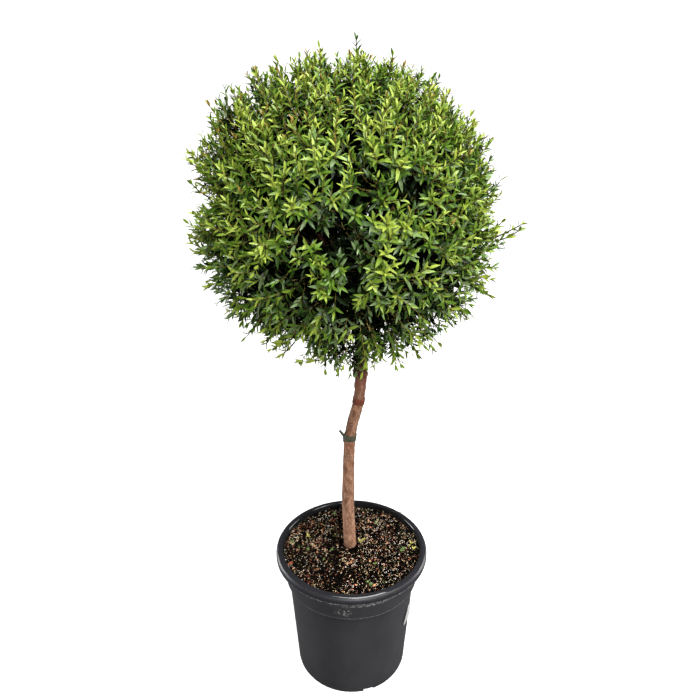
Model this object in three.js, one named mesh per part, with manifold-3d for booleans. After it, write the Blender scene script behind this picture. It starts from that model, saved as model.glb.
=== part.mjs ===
// Standard lollipop topiary: a small-leaved shrub clipped to a ball on a clear stem, in a round nursery pot.
// Millimetres, +Z up. The origin is the middle of the pot's flat underside.
// The stem stands on the compost and runs on through the ball as its leader. Ten boughs leave it and carry
// ten masses of foliage; the leader's tip carries the eleventh. The masses share the ball like the cells
// round the corners of an icosahedron whose lowest corner is left open for the stem.
import * as THREE from "three";
import { mergeVertices } from "three/addons/utils/BufferGeometryUtils.js";
import Module from "manifold-3d";

const wasm = await Module();
wasm.setup();

// ---- Driving dimensions ----

const potHeight = 228;
const potRound = 32; // facets round the pot and the compost
const rimRadius = 122;
const mouthRadius = 110.5;
const lipHeight = 15;
const bandTopRadius = 110;
const bandFootRadius = 107.8;
const bandHeight = 39;
const wallTopRadius = 103;
const wallFootRadius = 91.5;
const baseRadius = 84.5;
const wallThickness = 2.4;
const floorThickness = 3;
const drainCount = 4;
const drainTurn = 0.36;
const drainSize = { across: 16, deep: 11, high: 11, out: 5 }; // out: its middle beyond the base's edge

const compostTop = potHeight - 9;
const compostFlatRadius = 24; // level ground round the foot of the stem
const compostBump = 2.2;
const compostGrain = 0.09;
const clearance = 0.3; // between touching pieces

const crownCentre = new THREE.Vector3(-6, 0, 755);
const crownRadius = 197;
const coreRadius = 141;
const coreBump = 7;
const coreGrain = { outside: 4, inside: 2, bumps: 9 }; // how finely its skins are faceted and bumpy
const hollowRadius = 112; // bare inside of the ball, where the boughs run
const coreSeam = 1.6; // half the gap between two cores
const leafSeam = 0.5; // half the gap between two masses' leaves
const stemReach = 12; // how far a mass's own stem stands into the hollow
const massStemRadius = 3.4;
const massStemSunk = 22; // how deep that stem is fused into its core
const throat = { foot: 26, spread: 0.42, height: 167, x: 8 }; // the opening round the stem under the ball

const hollowTowards = new THREE.Vector3(0.02, -1, 0.17).normalize(); // a dark gap in the foliage
const hollowWide = 0.12;
const hollowTall = 0.24;
const hollowDepth = 24;
const hollowBare = 0.55; // no shoot stands where the gap is deeper than this share
const undersideBare = -0.975; // nor where the ball faces down more steeply than this

const leaf = { length: 40, width: 15, keel: 2.8, arch: 3.4, widest: 0.46 };
const shoot = { root: 2.9, tip: 1.8, sunk: 8, pairs: 2, pairBack: 3, step: 10, splay: 0.86, endLeaf: 1.2 };
const shootTurn = { up: 0.34, upFrom: -0.35, outwards: 0.12 }; // how shoots lean upwards and off the seams
const shootReach = { inside: 4, play: 9 }; // how far inside the ball's radius their tips end
const shootShake = 0.1; // unevenness of their spread over the ball
const leafPlay = 0.25; // unevenness of a leaf's splay
const leafTries = { splays: [1, 0.66, 0.4], sizes: [1, 0.84] }; // to fit its mass's space
const endLeafTilts = [0.1, 0];
const fork = { share: 0.1, along: 17, length: 15, splay: 0.72, play: 0.3 }; // side twigs on some shoots
const shootCount = 89;
const seed = 20261;

// Shoots that stand furthest out of the ball: where each one's tip lies, and its pairs of leaves.
const strayShoots = [
  { tip: [3, 0, 966], pairs: 3 },
  { tip: [221, -20, 744], pairs: 3 },
  { tip: [183, -48, 720], pairs: 2 },
  { tip: [-71, -44, 562], pairs: 2 },
  { tip: [-210, 14, 768], pairs: 2 },
  { tip: [24, -197, 716], pairs: 2 },
  { tip: [-30, 199, 772], pairs: 2 },
];

// The stem's own line, from the compost up: height, sideways and front-to-back place, and radius there.
const stemLine = [
  { z: compostTop + clearance, x: -2.4, y: 8, r: 10.3 },
  { z: compostTop + 16, x: -3.2, y: 8, r: 9.8 },
  { z: 318, x: -5.3, y: 8, r: 9.6 },
  { z: 426, x: -1.6, y: 7, r: 8.4 },
  { z: 486, x: 10.8, y: 6, r: 8.2 },
  { z: 541, x: 14.3, y: 5, r: 8.4 },
  { z: 590, x: 13, y: 4, r: 8.6 },
  { z: 660, x: 8, y: 2, r: 6.8 },
  { z: 750, x: -2, y: 0, r: 5 },
  { z: crownCentre.z + hollowRadius - stemReach - clearance, x: -6, y: 0, r: 3.4 },
];

// Two rings of masses and their boughs. The boughs leave the stem at heights one spacing apart,
// and each meets its mass at an elevation and a heading in degrees.
const boughRing = {
  lower: { count: 5, turn: -90, rise: -26.6, height: 588, spacing: 7, meets: -28, heading: 4, root: 4.4 },
  upper: { count: 5, turn: -54, rise: 26.6, height: 640, spacing: 9, meets: 24, heading: 38, root: 4.6 },
};
const boughTipRadius = 3.1;
const boughFacets = { sides: 7, steps: 6 };
const stemSides = 12;
const twigSides = 3;
const strapSides = 16;
const boughBend = { out: 16, up: 22, back: 26 }; // how far its curve's handles lie from its two ends

const tie = { height: 423, wide: 10, thick: 1.3, tail: 10, tailWide: 5, tailThick: 1.9, tailRise: 0.66 };
const band = { height: 484, wide: 8.5, thick: 1.1 };
const strapSlack = 0.4; // room for the stem's bend within a strap's width

const colours = {
  pot: 0x2b2b2d,
  compost: 0x2c211b,
  bark: 0x9a7358,
  limb: 0x5b4033,
  tie: 0x4b4a38,
  band: 0x6e3b2a,
  leaves: [0x4f7a24, 0x44701f, 0x5a8529],
};

// ---- Small helpers ----

const up = new THREE.Vector3(0, 0, 1);
const degrees = Math.PI / 180;

// The same row of numbers from 0 to 1 on every run.
function seededRandom(start) {
  let state = start >>> 0;
  return () => {
    state = (state + 0x6d2b79f5) >>> 0;
    let t = Math.imul(state ^ (state >>> 15), 1 | state);
    t = (t + Math.imul(t ^ (t >>> 7), 61 | t)) ^ t;
    return ((t ^ (t >>> 14)) >>> 0) / 4294967296;
  };
}

function solidOf(geometry) {
  const bare = new THREE.BufferGeometry().setAttribute("position", geometry.getAttribute("position"));
  if (geometry.index) bare.setIndex(geometry.index);
  const merged = mergeVertices(bare, 1e-4);
  return new wasm.Manifold(
    new wasm.Mesh({
      numProp: 3,
      vertProperties: new Float32Array(merged.attributes.position.array),
      triVerts: new Uint32Array(merged.index.array),
    }),
  );
}

function geometryOf(solid) {
  const mesh = solid.getMesh();
  return geometryFrom(mesh.vertProperties, mesh.triVerts);
}

function geometryFrom(positions, triangles) {
  return new THREE.BufferGeometry()
    .setAttribute("position", new THREE.BufferAttribute(new Float32Array(positions), 3))
    .setIndex(new THREE.BufferAttribute(new Uint32Array(triangles), 1));
}

// The largest connected piece of a solid, with sealed hollows filled.
function wholeBody(solid) {
  const pieces = solid.decompose().sort((a, b) => b.volume() - a.volume());
  return pieces[0];
}

function towards(azimuth, elevation) {
  const a = azimuth * degrees;
  const e = elevation * degrees;
  return new THREE.Vector3(Math.cos(a) * Math.cos(e), Math.sin(a) * Math.cos(e), Math.sin(e));
}

// A direction square to another.
function squareTo(heading) {
  const other = Math.abs(heading.z) > 0.9 ? new THREE.Vector3(1, 0, 0) : up;
  return heading.clone().cross(other).normalize();
}

function onCrown(direction, radius) {
  return crownCentre.clone().addScaledVector(direction, radius);
}

// Gentle unevenness over a direction or a place, about -1 to 1.
function unevenness(p, grain) {
  const q = p.clone().multiplyScalar(grain);
  const long = Math.sin(q.x + 1.7 * q.y);
  const middle = Math.sin(1.3 * q.y - q.z + 2);
  const short = Math.sin(1.1 * q.z + 0.8 * q.x + 4);
  return (long + middle + short) / 3;
}

// ---- Limbs: closed round bodies that follow a path and taper ----

function limbGeometry(path, radiusAt, sides, steps, levelFoot = false) {
  const positions = [];
  const triangles = [];
  let across = new THREE.Vector3(1, 0, 0);
  for (let i = 0; i <= steps; i++) {
    const t = i / steps;
    const centre = path.getPoint(t);
    const along = levelFoot && i === 0 ? up.clone() : path.getTangent(t);
    across = across.clone().addScaledVector(along, -across.dot(along)).normalize();
    const beside = along.clone().cross(across);
    const radius = radiusAt(t);
    for (let j = 0; j < sides; j++) {
      const a = (j / sides) * 2 * Math.PI;
      const corner = centre.clone();
      corner.addScaledVector(across, radius * Math.cos(a));
      corner.addScaledVector(beside, radius * Math.sin(a));
      positions.push(corner.x, corner.y, corner.z);
    }
  }
  const at = (i, j) => i * sides + (j % sides);
  for (let i = 0; i < steps; i++)
    for (let j = 0; j < sides; j++)
      triangles.push(at(i, j), at(i, j + 1), at(i + 1, j + 1), at(i, j), at(i + 1, j + 1), at(i + 1, j));
  for (let j = 1; j < sides - 1; j++) {
    triangles.push(at(0, 0), at(0, j + 1), at(0, j));
    triangles.push(at(steps, 0), at(steps, j), at(steps, j + 1));
  }
  return geometryFrom(positions, triangles);
}

// A number that runs smoothly through the values of one key of a list, by place in the list.
function runThrough(list, key) {
  return (t) => {
    const place = t * (list.length - 1);
    const i = Math.min(Math.floor(place), list.length - 2);
    return THREE.MathUtils.lerp(list[i][key], list[i + 1][key], place - i);
  };
}

const stemPoints = stemLine.map((p) => new THREE.Vector3(p.x, p.y, p.z));
const stemPath = new THREE.CatmullRomCurve3(stemPoints, false, "catmullrom", 0.5);
const stemRadius = runThrough(stemLine, "r");
const stemSteps = 2 * (stemLine.length - 1);

function stemGeometry(extra = 0) {
  return limbGeometry(stemPath, (t) => stemRadius(t) + extra, stemSides, stemSteps, true);
}

// The stem's centre and radius at a height.
function stemAt(height) {
  let low = 0;
  let high = 1;
  for (let i = 0; i < 40; i++) {
    const middle = (low + high) / 2;
    if (stemPath.getPoint(middle).z < height) low = middle;
    else high = middle;
  }
  return { centre: stemPath.getPoint(low), along: stemPath.getTangent(low), radius: stemRadius(low) };
}

// ---- Pot, compost, tie and band ----

function revolve(profile, round) {
  const points = profile.map(([r, z]) => new THREE.Vector2(r, z));
  return new THREE.LatheGeometry(points, round).rotateX(Math.PI / 2);
}

// The inside of the pot, from the middle of the floor up to under the lip.
function insideProfile(inset) {
  return [
    [baseRadius - wallThickness - inset, floorThickness + inset],
    [wallFootRadius - wallThickness - inset, floorThickness + 7 + inset],
    [wallTopRadius - wallThickness - inset, potHeight - lipHeight - bandHeight],
    [bandFootRadius - wallThickness - inset, potHeight - lipHeight - bandHeight + 4 + inset],
  ];
}

function potSolid() {
  const bandFoot = potHeight - lipHeight - bandHeight;
  const lipFoot = potHeight - lipHeight;
  const profile = [
    [0, 0],
    [baseRadius, 0],
    [baseRadius + 4.2, 1.8],
    [wallFootRadius, 8],
    [wallTopRadius, bandFoot],
    [bandFootRadius, bandFoot + 2],
    [bandTopRadius, lipFoot - 3],
    [bandTopRadius + 3, lipFoot],
    [rimRadius - 2.5, lipFoot + 2],
    [rimRadius, lipFoot + 6],
    [rimRadius - 0.6, potHeight - 3.5],
    [rimRadius - 3.4, potHeight],
    [mouthRadius + 3, potHeight],
    [mouthRadius, potHeight - 2.5],
    [mouthRadius - 1, potHeight - lipHeight],
    ...insideProfile(0).reverse(),
    [0, floorThickness],
  ];
  let pot = solidOf(revolve(profile, potRound));
  for (let i = 0; i < drainCount; i++) {
    const slot = new THREE.BoxGeometry(drainSize.deep, drainSize.across, 2 * drainSize.high)
      .translate(baseRadius + drainSize.out, 0, 0)
      .rotateZ(drainTurn + (i / drainCount) * 2 * Math.PI);
    pot = pot.subtract(solidOf(slot));
  }
  return pot;
}

function compostGeometry() {
  const edge = mouthRadius - 1 - clearance - 0.4;
  const rings = [edge - 12, edge - 34, edge - 58, compostFlatRadius];
  const profile = [
    [0, floorThickness + clearance],
    ...insideProfile(clearance),
    [edge - 0.5, compostTop - 1.5],
    ...rings.map((r) => [r, compostTop]),
    [0, compostTop],
  ];
  const geometry = revolve(profile, potRound);
  const position = geometry.getAttribute("position");
  const p = new THREE.Vector3();
  for (let i = 0; i < position.count; i++) {
    p.fromBufferAttribute(position, i);
    const radius = Math.hypot(p.x, p.y);
    if (p.z < compostTop - 0.01 || radius < compostFlatRadius + 1) continue;
    const lift = compostBump * unevenness(new THREE.Vector3(p.x, p.y, 0), compostGrain);
    position.setZ(i, p.z + lift);
  }
  return geometry;
}

// A strap round the stem, square to it, in its own frame: Z along the stem.
function strapSolid(radius, strap) {
  const outer = radius + clearance + strap.thick;
  const half = strap.wide / 2;
  const profile = [
    [radius + clearance, -half],
    [outer, -half],
    [outer, half],
    [radius + clearance, half],
    [radius + clearance, -half],
  ];
  return solidOf(revolve(profile, strapSides));
}

function placedOnStem(geometry, height) {
  const { centre, along } = stemAt(height);
  const turn = new THREE.Quaternion().setFromUnitVectors(up, along);
  return geometry.applyQuaternion(turn).translate(centre.x, centre.y, centre.z);
}

// The strap must clear the stem where it is thickest within the strap's width.
function strapRadius(strap) {
  const heights = [-0.6, 0, 0.6].map((share) => strap.height + share * strap.wide);
  return Math.max(...heights.map((height) => stemAt(height).radius)) + strapSlack;
}

function tieGeometry() {
  const radius = strapRadius(tie);
  const cornerIn = (tie.tailWide / 2) * Math.sin(tie.tailRise);
  const tail = new THREE.BoxGeometry(tie.tail, tie.tailThick, tie.tailWide)
    .translate(-tie.tail / 2, 0, 0)
    .rotateY(tie.tailRise)
    .translate(-radius - clearance - tie.thick / 2 - cornerIn, 0, 0);
  return placedOnStem(geometryOf(wholeBody(strapSolid(radius, tie).add(solidOf(tail)))), tie.height);
}

function bandGeometry() {
  return placedOnStem(geometryOf(strapSolid(strapRadius(band), band)), band.height);
}

// ---- Masses of foliage ----

function massesOfCrown() {
  const top = { at: onCrown(up, hollowRadius), heading: up.clone() };
  const list = [{ name: "crown_top", towards: up.clone(), stem: top }];
  for (const [ring, bough] of Object.entries(boughRing))
    for (let i = 0; i < bough.count; i++) {
      const azimuth = bough.turn + (i * 360) / bough.count;
      const at = onCrown(towards(azimuth, bough.meets), hollowRadius);
      list.push({
        name: `crown_${ring}_${i + 1}`,
        bough: `bough_${ring}_${i + 1}`,
        towards: towards(azimuth, bough.rise),
        stem: { at, heading: towards(azimuth, bough.heading) },
        height: bough.height + bough.spacing * ((i * 2) % bough.count),
        root: bough.root,
        azimuth,
      });
    }
  return list;
}

const masses = massesOfCrown();

// How far inside its mass's own space a point lies, in millimetres; negative outside.
function insideMass(mass, point) {
  const from = point.clone().sub(crownCentre);
  let least = Infinity;
  for (const other of masses) {
    if (other === mass) continue;
    const across = mass.towards.clone().sub(other.towards).normalize();
    least = Math.min(least, from.dot(across));
  }
  return least;
}

function massTowards(direction) {
  const nearness = (mass) => mass.towards.dot(direction);
  return masses.reduce((best, mass) => (nearness(mass) > nearness(best) ? mass : best));
}

// How deep the gap in the foliage is in a direction, from 0 to 1.
function gapAt(direction) {
  if (direction.dot(hollowTowards) < 0.5) return 0;
  const wide = (direction.x - hollowTowards.x) / hollowWide;
  const tall = (direction.z - hollowTowards.z) / hollowTall;
  return Math.exp(-(wide * wide + tall * tall));
}

function bumpySphere(radius, detail, bump, gap) {
  const geometry = new THREE.IcosahedronGeometry(1, detail);
  const position = geometry.getAttribute("position");
  const p = new THREE.Vector3();
  for (let i = 0; i < position.count; i++) {
    p.fromBufferAttribute(position, i).normalize();
    const size = radius + bump * unevenness(p, coreGrain.bumps) - gap * gapAt(p);
    p.copy(onCrown(p, size));
    position.setXYZ(i, p.x, p.y, p.z);
  }
  return solidOf(geometry);
}

// Everything on the far side of the plane between two masses, less half a seam.
function beyondPlane(mass, other, seam) {
  const size = 600;
  const across = mass.towards.clone().sub(other.towards).normalize();
  const turn = new THREE.Quaternion().setFromUnitVectors(up, across);
  const centre = crownCentre.clone().addScaledVector(across, seam - size / 2);
  const block = new THREE.BoxGeometry(size, size, size).applyQuaternion(turn);
  return solidOf(block.translate(centre.x, centre.y, centre.z));
}

function throatSolid() {
  const top = throat.foot + throat.spread * throat.height;
  const cone = new THREE.CylinderGeometry(top, throat.foot, throat.height, 16).rotateX(Math.PI / 2);
  return solidOf(cone.translate(throat.x, 0, crownCentre.z - crownRadius + throat.height / 2));
}

const crownShell = bumpySphere(coreRadius, coreGrain.outside, coreBump, hollowDepth)
  .subtract(bumpySphere(hollowRadius, coreGrain.inside, 0, 0))
  .subtract(throatSolid());

function coreOf(mass) {
  let core = crownShell;
  for (const other of masses) if (other !== mass) core = core.subtract(beyondPlane(mass, other, coreSeam));
  return wholeBody(core);
}

// A leaf of six faces: base, two edges and tip, bent at its widest, and a keel under the midrib.
function leafSolid(base, along, face, size) {
  const side = along.clone().cross(face).normalize();
  const raised = face.clone().addScaledVector(along, -face.dot(along)).normalize();
  const middle = base.clone().addScaledVector(along, leaf.widest * leaf.length * size);
  middle.addScaledVector(raised, leaf.arch * size);
  const half = (leaf.width / 2) * size;
  const corners = [
    base,
    middle.clone().addScaledVector(side, half),
    base.clone().addScaledVector(along, leaf.length * size),
    middle.clone().addScaledVector(side, -half),
    middle.clone().addScaledVector(raised, -leaf.keel * size),
  ];
  const triangles = [0, 1, 3, 1, 2, 3, 1, 0, 4, 2, 1, 4, 3, 2, 4, 0, 3, 4];
  return { corners, solid: solidOf(geometryFrom(corners.flatMap((c) => c.toArray()), triangles)) };
}

function twigSolid(from, to, rootRadius, tipRadius) {
  const line = new THREE.LineCurve3(from, to);
  return solidOf(limbGeometry(line, (t) => THREE.MathUtils.lerp(rootRadius, tipRadius, t), twigSides, 1));
}

// Where the limbs run inside and under the ball, as points with a radius, for foliage to keep clear of.
const limbPoints = [];

function noteLimb(path, radiusAt, count) {
  for (let i = 0; i <= count; i++) {
    const t = i / count;
    limbPoints.push({ at: path.getPoint(t), radius: radiusAt(t) });
  }
}

function clearOfLimbs(point, margin) {
  return limbPoints.every((limb) => limb.at.distanceTo(point) > limb.radius + margin);
}

function fitsSpace(mass, points, room) {
  return points.every((p) => insideMass(mass, p) > room && clearOfLimbs(p, room + 1));
}

// One straight three-sided twig with crossed pairs of leaves and one leaf at its tip.
function twigSolids(mass, root, heading, length, pairs, random) {
  const tip = root.clone().addScaledVector(heading, length);
  if (!fitsSpace(mass, [root, root.clone().lerp(tip, 0.5), tip], leafSeam + shoot.root)) return [];
  const solids = [twigSolid(root, tip, shoot.root, shoot.tip)];
  const across = squareTo(heading).applyAxisAngle(heading, random() * Math.PI);
  const placeLeaf = (base, out, splays) => {
    for (const splay of splays)
      for (const size of leafTries.sizes) {
        const along = heading.clone().multiplyScalar(Math.cos(splay)).addScaledVector(out, Math.sin(splay));
        const face = heading.clone().multiplyScalar(Math.sin(splay)).addScaledVector(out, -Math.cos(splay));
        const made = leafSolid(base, along, face, size);
        if (!fitsSpace(mass, made.corners, leafSeam)) continue;
        solids.push(made.solid);
        return;
      }
  };
  for (let pair = 0; pair < pairs; pair++) {
    const node = tip.clone().addScaledVector(heading, -shoot.pairBack - pair * shoot.step);
    for (const side of [1, -1]) {
      const splay = shoot.splay + leafPlay * (random() - 0.5);
      placeLeaf(node, across.clone().multiplyScalar(side), leafTries.splays.map((share) => share * splay));
    }
    across.applyAxisAngle(heading, Math.PI / 2);
  }
  placeLeaf(tip.clone().addScaledVector(heading, -shoot.endLeaf), across, endLeafTilts);
  return solids;
}

// A shoot: a twig, on some with a side twig that leaves it just outside the core's skin.
function shootSolids({ mass, root, heading, length, pairs, random }) {
  const solids = twigSolids(mass, root, heading, length, pairs, random);
  if (random() > fork.share) return solids;
  const aside = squareTo(heading).applyAxisAngle(heading, random() * 2 * Math.PI);
  const splay = fork.splay + fork.play * (random() - 0.5);
  const sideways = heading.clone().multiplyScalar(Math.cos(splay)).addScaledVector(aside, Math.sin(splay));
  const start = root.clone().addScaledVector(heading, fork.along);
  solids.push(...twigSolids(mass, start, sideways, fork.length, 1, random));
  return solids;
}

// Evenly spread directions, shaken a little so that no rows show.
function spreadDirections(count, random) {
  const golden = Math.PI * (1 + Math.sqrt(5));
  return Array.from({ length: count }, (_, i) => {
    const z = 1 - (2 * (i + 0.5)) / count;
    const ring = Math.sqrt(1 - z * z);
    const p = new THREE.Vector3(ring * Math.cos(golden * i), ring * Math.sin(golden * i), z);
    p.x += shootShake * (random() - 0.5);
    p.y += shootShake * (random() - 0.5);
    p.z += shootShake * (random() - 0.5);
    return p.normalize();
  });
}

function shootRoot(direction) {
  return onCrown(direction, coreRadius - coreBump - shoot.sunk);
}

// The ball's shoots, dealt to the masses: each has a root under its core's skin and a heading.
function shootsOfCrown() {
  const random = seededRandom(seed);
  const shoots = [];
  for (const direction of spreadDirections(shootCount, random)) {
    if (gapAt(direction) > hollowBare || direction.z < undersideBare) continue;
    const mass = massTowards(direction);
    const lift = shootTurn.up * Math.max(0, direction.z - shootTurn.upFrom);
    const heading = direction.clone().addScaledVector(up, lift);
    heading.addScaledVector(mass.towards, shootTurn.outwards).normalize();
    const root = shootRoot(direction);
    const reach = crownRadius - shootReach.inside + shootReach.play * (random() - 0.5) - leaf.length;
    const outside = root.clone().sub(crownCentre);
    const b = outside.dot(heading);
    const length = -b + Math.sqrt(b * b - outside.lengthSq() + reach * reach);
    const ownRandom = seededRandom(seed + 7 * shoots.length);
    shoots.push({ mass, root, heading, length, pairs: shoot.pairs, random: ownRandom });
  }
  strayShoots.forEach(({ tip, pairs }, i) => {
    const end = new THREE.Vector3(...tip);
    const direction = end.clone().sub(crownCentre).normalize();
    const root = shootRoot(direction);
    const length = end.distanceTo(root) - leaf.length + shoot.endLeaf;
    const heading = end.clone().sub(root).normalize();
    const mass = massTowards(direction);
    shoots.push({ mass, root, heading, length, pairs, random: seededRandom(seed - 1 - i) });
  });
  return shoots;
}

// A mass: core, its own stem reaching back to its bough, and its shoots, joined into one body.
function massGeometry(mass, shoots) {
  const { at, heading } = mass.stem;
  const foot = at.clone().addScaledVector(heading, -stemReach);
  const stem = new THREE.LineCurve3(foot, at.clone().addScaledVector(heading, massStemSunk));
  const solids = [coreOf(mass), solidOf(limbGeometry(stem, () => massStemRadius, boughFacets.sides, 1))];
  for (const one of shoots) if (one.mass === mass) solids.push(...shootSolids(one));
  return geometryOf(wholeBody(wasm.Manifold.union(solids)));
}

// ---- Boughs: from the stem's side to the foot of a mass's own stem ----

function boughPath(mass) {
  const { at, heading } = mass.stem;
  const start = stemAt(mass.height);
  const end = at.clone().addScaledVector(heading, -stemReach - clearance);
  const away = towards(mass.azimuth, 0);
  const first = start.centre.clone().addScaledVector(away, boughBend.out).addScaledVector(up, boughBend.up);
  const last = end.clone().addScaledVector(heading, -boughBend.back);
  return new THREE.CubicBezierCurve3(start.centre, first, last, end);
}

function boughGeometry(mass, stemRoom) {
  const path = boughPath(mass);
  const radiusAt = (t) => THREE.MathUtils.lerp(mass.root, boughTipRadius, Math.sqrt(t));
  noteLimb(path, radiusAt, 16);
  const bough = limbGeometry(path, radiusAt, boughFacets.sides, boughFacets.steps);
  return geometryOf(wholeBody(solidOf(bough).subtract(stemRoom)));
}

// ---- The whole plant ----

function named(name, geometry, colour, roughness = 0.8) {
  const material = new THREE.MeshStandardMaterial({ color: colour, roughness, metalness: 0 });
  const mesh = new THREE.Mesh(geometry, material);
  mesh.name = name;
  return mesh;
}

function topiary() {
  const plant = new THREE.Group();
  plant.add(named("pot", geometryOf(potSolid()), colours.pot, 0.55));
  plant.add(named("compost", compostGeometry(), colours.compost, 0.95));
  plant.add(named("trunk", stemGeometry(), colours.bark));
  plant.add(named("stem_tie", tieGeometry(), colours.tie, 0.5));
  plant.add(named("stem_band", bandGeometry(), colours.band, 0.7));
  noteLimb(stemPath, stemRadius, 90);
  const stemRoom = solidOf(stemGeometry(clearance));
  for (const mass of masses)
    if (mass.bough) plant.add(named(mass.bough, boughGeometry(mass, stemRoom), colours.limb));
  const shoots = shootsOfCrown();
  masses.forEach((mass, i) => {
    plant.add(named(mass.name, massGeometry(mass, shoots), colours.leaves[i % colours.leaves.length], 0.6));
  });
  return plant;
}

export default topiary();
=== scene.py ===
"""A small-leaved shrub clipped to a ball on a clear stem, in a round nursery pot, dressed around its frame.

Metres, +Z up, with the middle of the pot's underside at the origin and -Y towards the camera.
"""
import math
from collections import namedtuple
from functools import partialmethod

import bpy
import numpy as np
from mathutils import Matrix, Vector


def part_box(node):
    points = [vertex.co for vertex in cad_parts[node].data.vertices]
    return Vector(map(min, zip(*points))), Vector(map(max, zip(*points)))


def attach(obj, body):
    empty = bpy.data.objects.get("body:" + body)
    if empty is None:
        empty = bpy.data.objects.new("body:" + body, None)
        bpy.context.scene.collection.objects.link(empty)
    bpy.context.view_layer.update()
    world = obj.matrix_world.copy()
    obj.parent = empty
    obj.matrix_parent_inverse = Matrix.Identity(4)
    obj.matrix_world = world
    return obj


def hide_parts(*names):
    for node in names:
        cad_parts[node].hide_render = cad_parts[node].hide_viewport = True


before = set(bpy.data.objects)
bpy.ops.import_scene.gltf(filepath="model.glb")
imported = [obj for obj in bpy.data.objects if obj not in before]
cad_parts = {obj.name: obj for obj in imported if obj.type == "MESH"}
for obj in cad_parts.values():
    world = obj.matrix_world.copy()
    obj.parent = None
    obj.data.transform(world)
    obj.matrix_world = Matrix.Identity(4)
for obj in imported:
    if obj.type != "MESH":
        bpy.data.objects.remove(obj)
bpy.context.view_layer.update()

MM = 0.001
UP = np.array([0.0, 0.0, 1.0])

# ---- Sizes shared with the frame ----

_, pot_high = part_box("pot")
POT_HEIGHT = pot_high.z
RIM_RADIUS = pot_high.x
COMPOST_TOP = POT_HEIGHT - 9 * MM
CLEARANCE = 0.3 * MM  # between limbs and what they meet

CROWN_CENTRE = np.array([-6, 0, 755]) * MM
CROWN_RADIUS = 197 * MM
HOLLOW_RADIUS = 112 * MM
MASS_STEM_REACH = 12 * MM

# The stem's line from the compost up: x, y, z and radius.
STEM_LINE = np.array([
    [-2.4, 8, 219.3, 10.3],
    [-3.2, 8, 235, 9.8],
    [-5.3, 8, 318, 9.6],
    [-1.6, 7, 426, 8.4],
    [10.8, 6, 486, 8.2],
    [14.3, 5, 541, 8.4],
    [13, 4, 590, 8.6],
    [8, 2, 660, 6.8],
    [-2, 0, 750, 5],
    [-6, 0, 854.7, 3.4],
]) * MM

# Two rings of masses: how their boughs leave the stem and meet them. Angles in degrees.
BOUGH_RINGS = {
    "lower": dict(turn=-90, rise=-26.6, height=588 * MM, step=7 * MM, meets=-28, heading=4, root=4.4 * MM),
    "upper": dict(turn=-54, rise=26.6, height=640 * MM, step=9 * MM, meets=24, heading=38, root=4.6 * MM),
}
RING_COUNT = 5
BOUGH_TIP = 3.1 * MM
BOUGH_OUT, BOUGH_UP, BOUGH_BACK = 16 * MM, 22 * MM, 26 * MM

# ---- Sizes of the foliage ----

SEED = 20261
BRANCH_COUNT = 132
BRANCH_END = 150 * MM
SKIN_RADIUS = CROWN_RADIUS - 9 * MM
SKIN_PLAY = 7.5 * MM  # how unevenly the ball is clipped
SKIN_LUMPS = 3.5 * MM
SKIN_LIMITS = (-20 * MM, 11 * MM)
HEAD_UP, HANG_BELOW = 1.75, -0.42  # how much shoots turn up, and the height on a unit ball from which they do
OUTER_SHOOTS = 1480
SIDE_SHOOTS = 1050
DENSER_ABOVE = 0.15  # how far shoots crowd towards the top
INNER_SHOOTS = 5300
PAIR_SPACING = 6.8 * MM
LEAF_LENGTHS = np.array([11, 13.2, 15, 16.2, 17, 17, 16.6, 16, 15.5]) * MM  # by pair, from the tip back
LEAF_SPLAYS = np.radians([22, 34, 43, 50, 55, 59, 62, 64, 66])
LEAF_KEPT = np.array([1, 1, 1, 0.97, 0.93, 0.87, 0.78, 0.68, 0.55])  # share of the leaves that are left
LEAF_WIDTH = 0.275  # of its length
SIDE_LENGTH = (16 * MM, 30 * MM)
INNER_LENGTH = (30 * MM, 54 * MM)
INNER_DEPTH = 26 * MM  # how far under the skin the inner shoots end
STEM_OPENING = (0.09, 0.45)  # how far round the stem the ball is bare from below: least, and how much more

# Dark gaps in the skin on the camera's side: direction, half width, half height and depth.
GAPS = [
    ((0.12, -0.92, 0.38), 0.1, 0.125, 46 * MM),
    ((-0.05, -1.0, 0.05), 0.15, 0.14, 50 * MM),
    ((0.37, -0.87, 0.32), 0.12, 0.09, 34 * MM),
    ((-0.32, -0.94, -0.10), 0.15, 0.08, 24 * MM),
    ((0.04, -0.98, -0.20), 0.1, 0.1, 29 * MM),
    ((0.08, -0.86, -0.50), 0.19, 0.11, 28 * MM),
    ((-0.55, -0.78, 0.29), 0.08, 0.06, 16 * MM),
    ((0.51, -0.78, -0.37), 0.12, 0.06, 14 * MM),
]
# How far the clipped ball's outline stands out, every ten degrees from +X round over the top.
OUTLINE = np.array([
    -8, 0, 1, 0, -5, -8, 7, -4, -1, -3, 3, 3,
    10, 10, 20, -8, 17, -37, 4, 2, 3, 3, 4, 4,
    -3, -31, 0, 21, -2, 5, 5, 6, 5, 8, 3, 5,
]) * MM
OUTLINE_ACROSS = np.array([[1, 0, 0], [0, 0.174, 0.985]])  # the outline's plane
OUTLINE_FORWARD = np.array([0, -0.985, 0.174])
OUTLINE_LEAN = 0.237  # how far it lies in front of the ball's middle
OUTLINE_REACH = 0.45  # how far the unevenness runs on towards the front and the back


def srgb(red, green, blue):
    """A colour given in display values from 0 to 255, as the linear values that a shader takes."""
    linear = [((c / 255 + 0.055) / 1.055) ** 2.4 if c > 10 else c / 255 / 12.92 for c in (red, green, blue)]
    return (*linear, 1.0)


def unit(vectors):
    return vectors / np.linalg.norm(vectors, axis=-1, keepdims=True)


def towards(azimuth, elevation):
    a, e = math.radians(azimuth), math.radians(elevation)
    return np.array([math.cos(a) * math.cos(e), math.sin(a) * math.cos(e), math.sin(e)])


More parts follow.
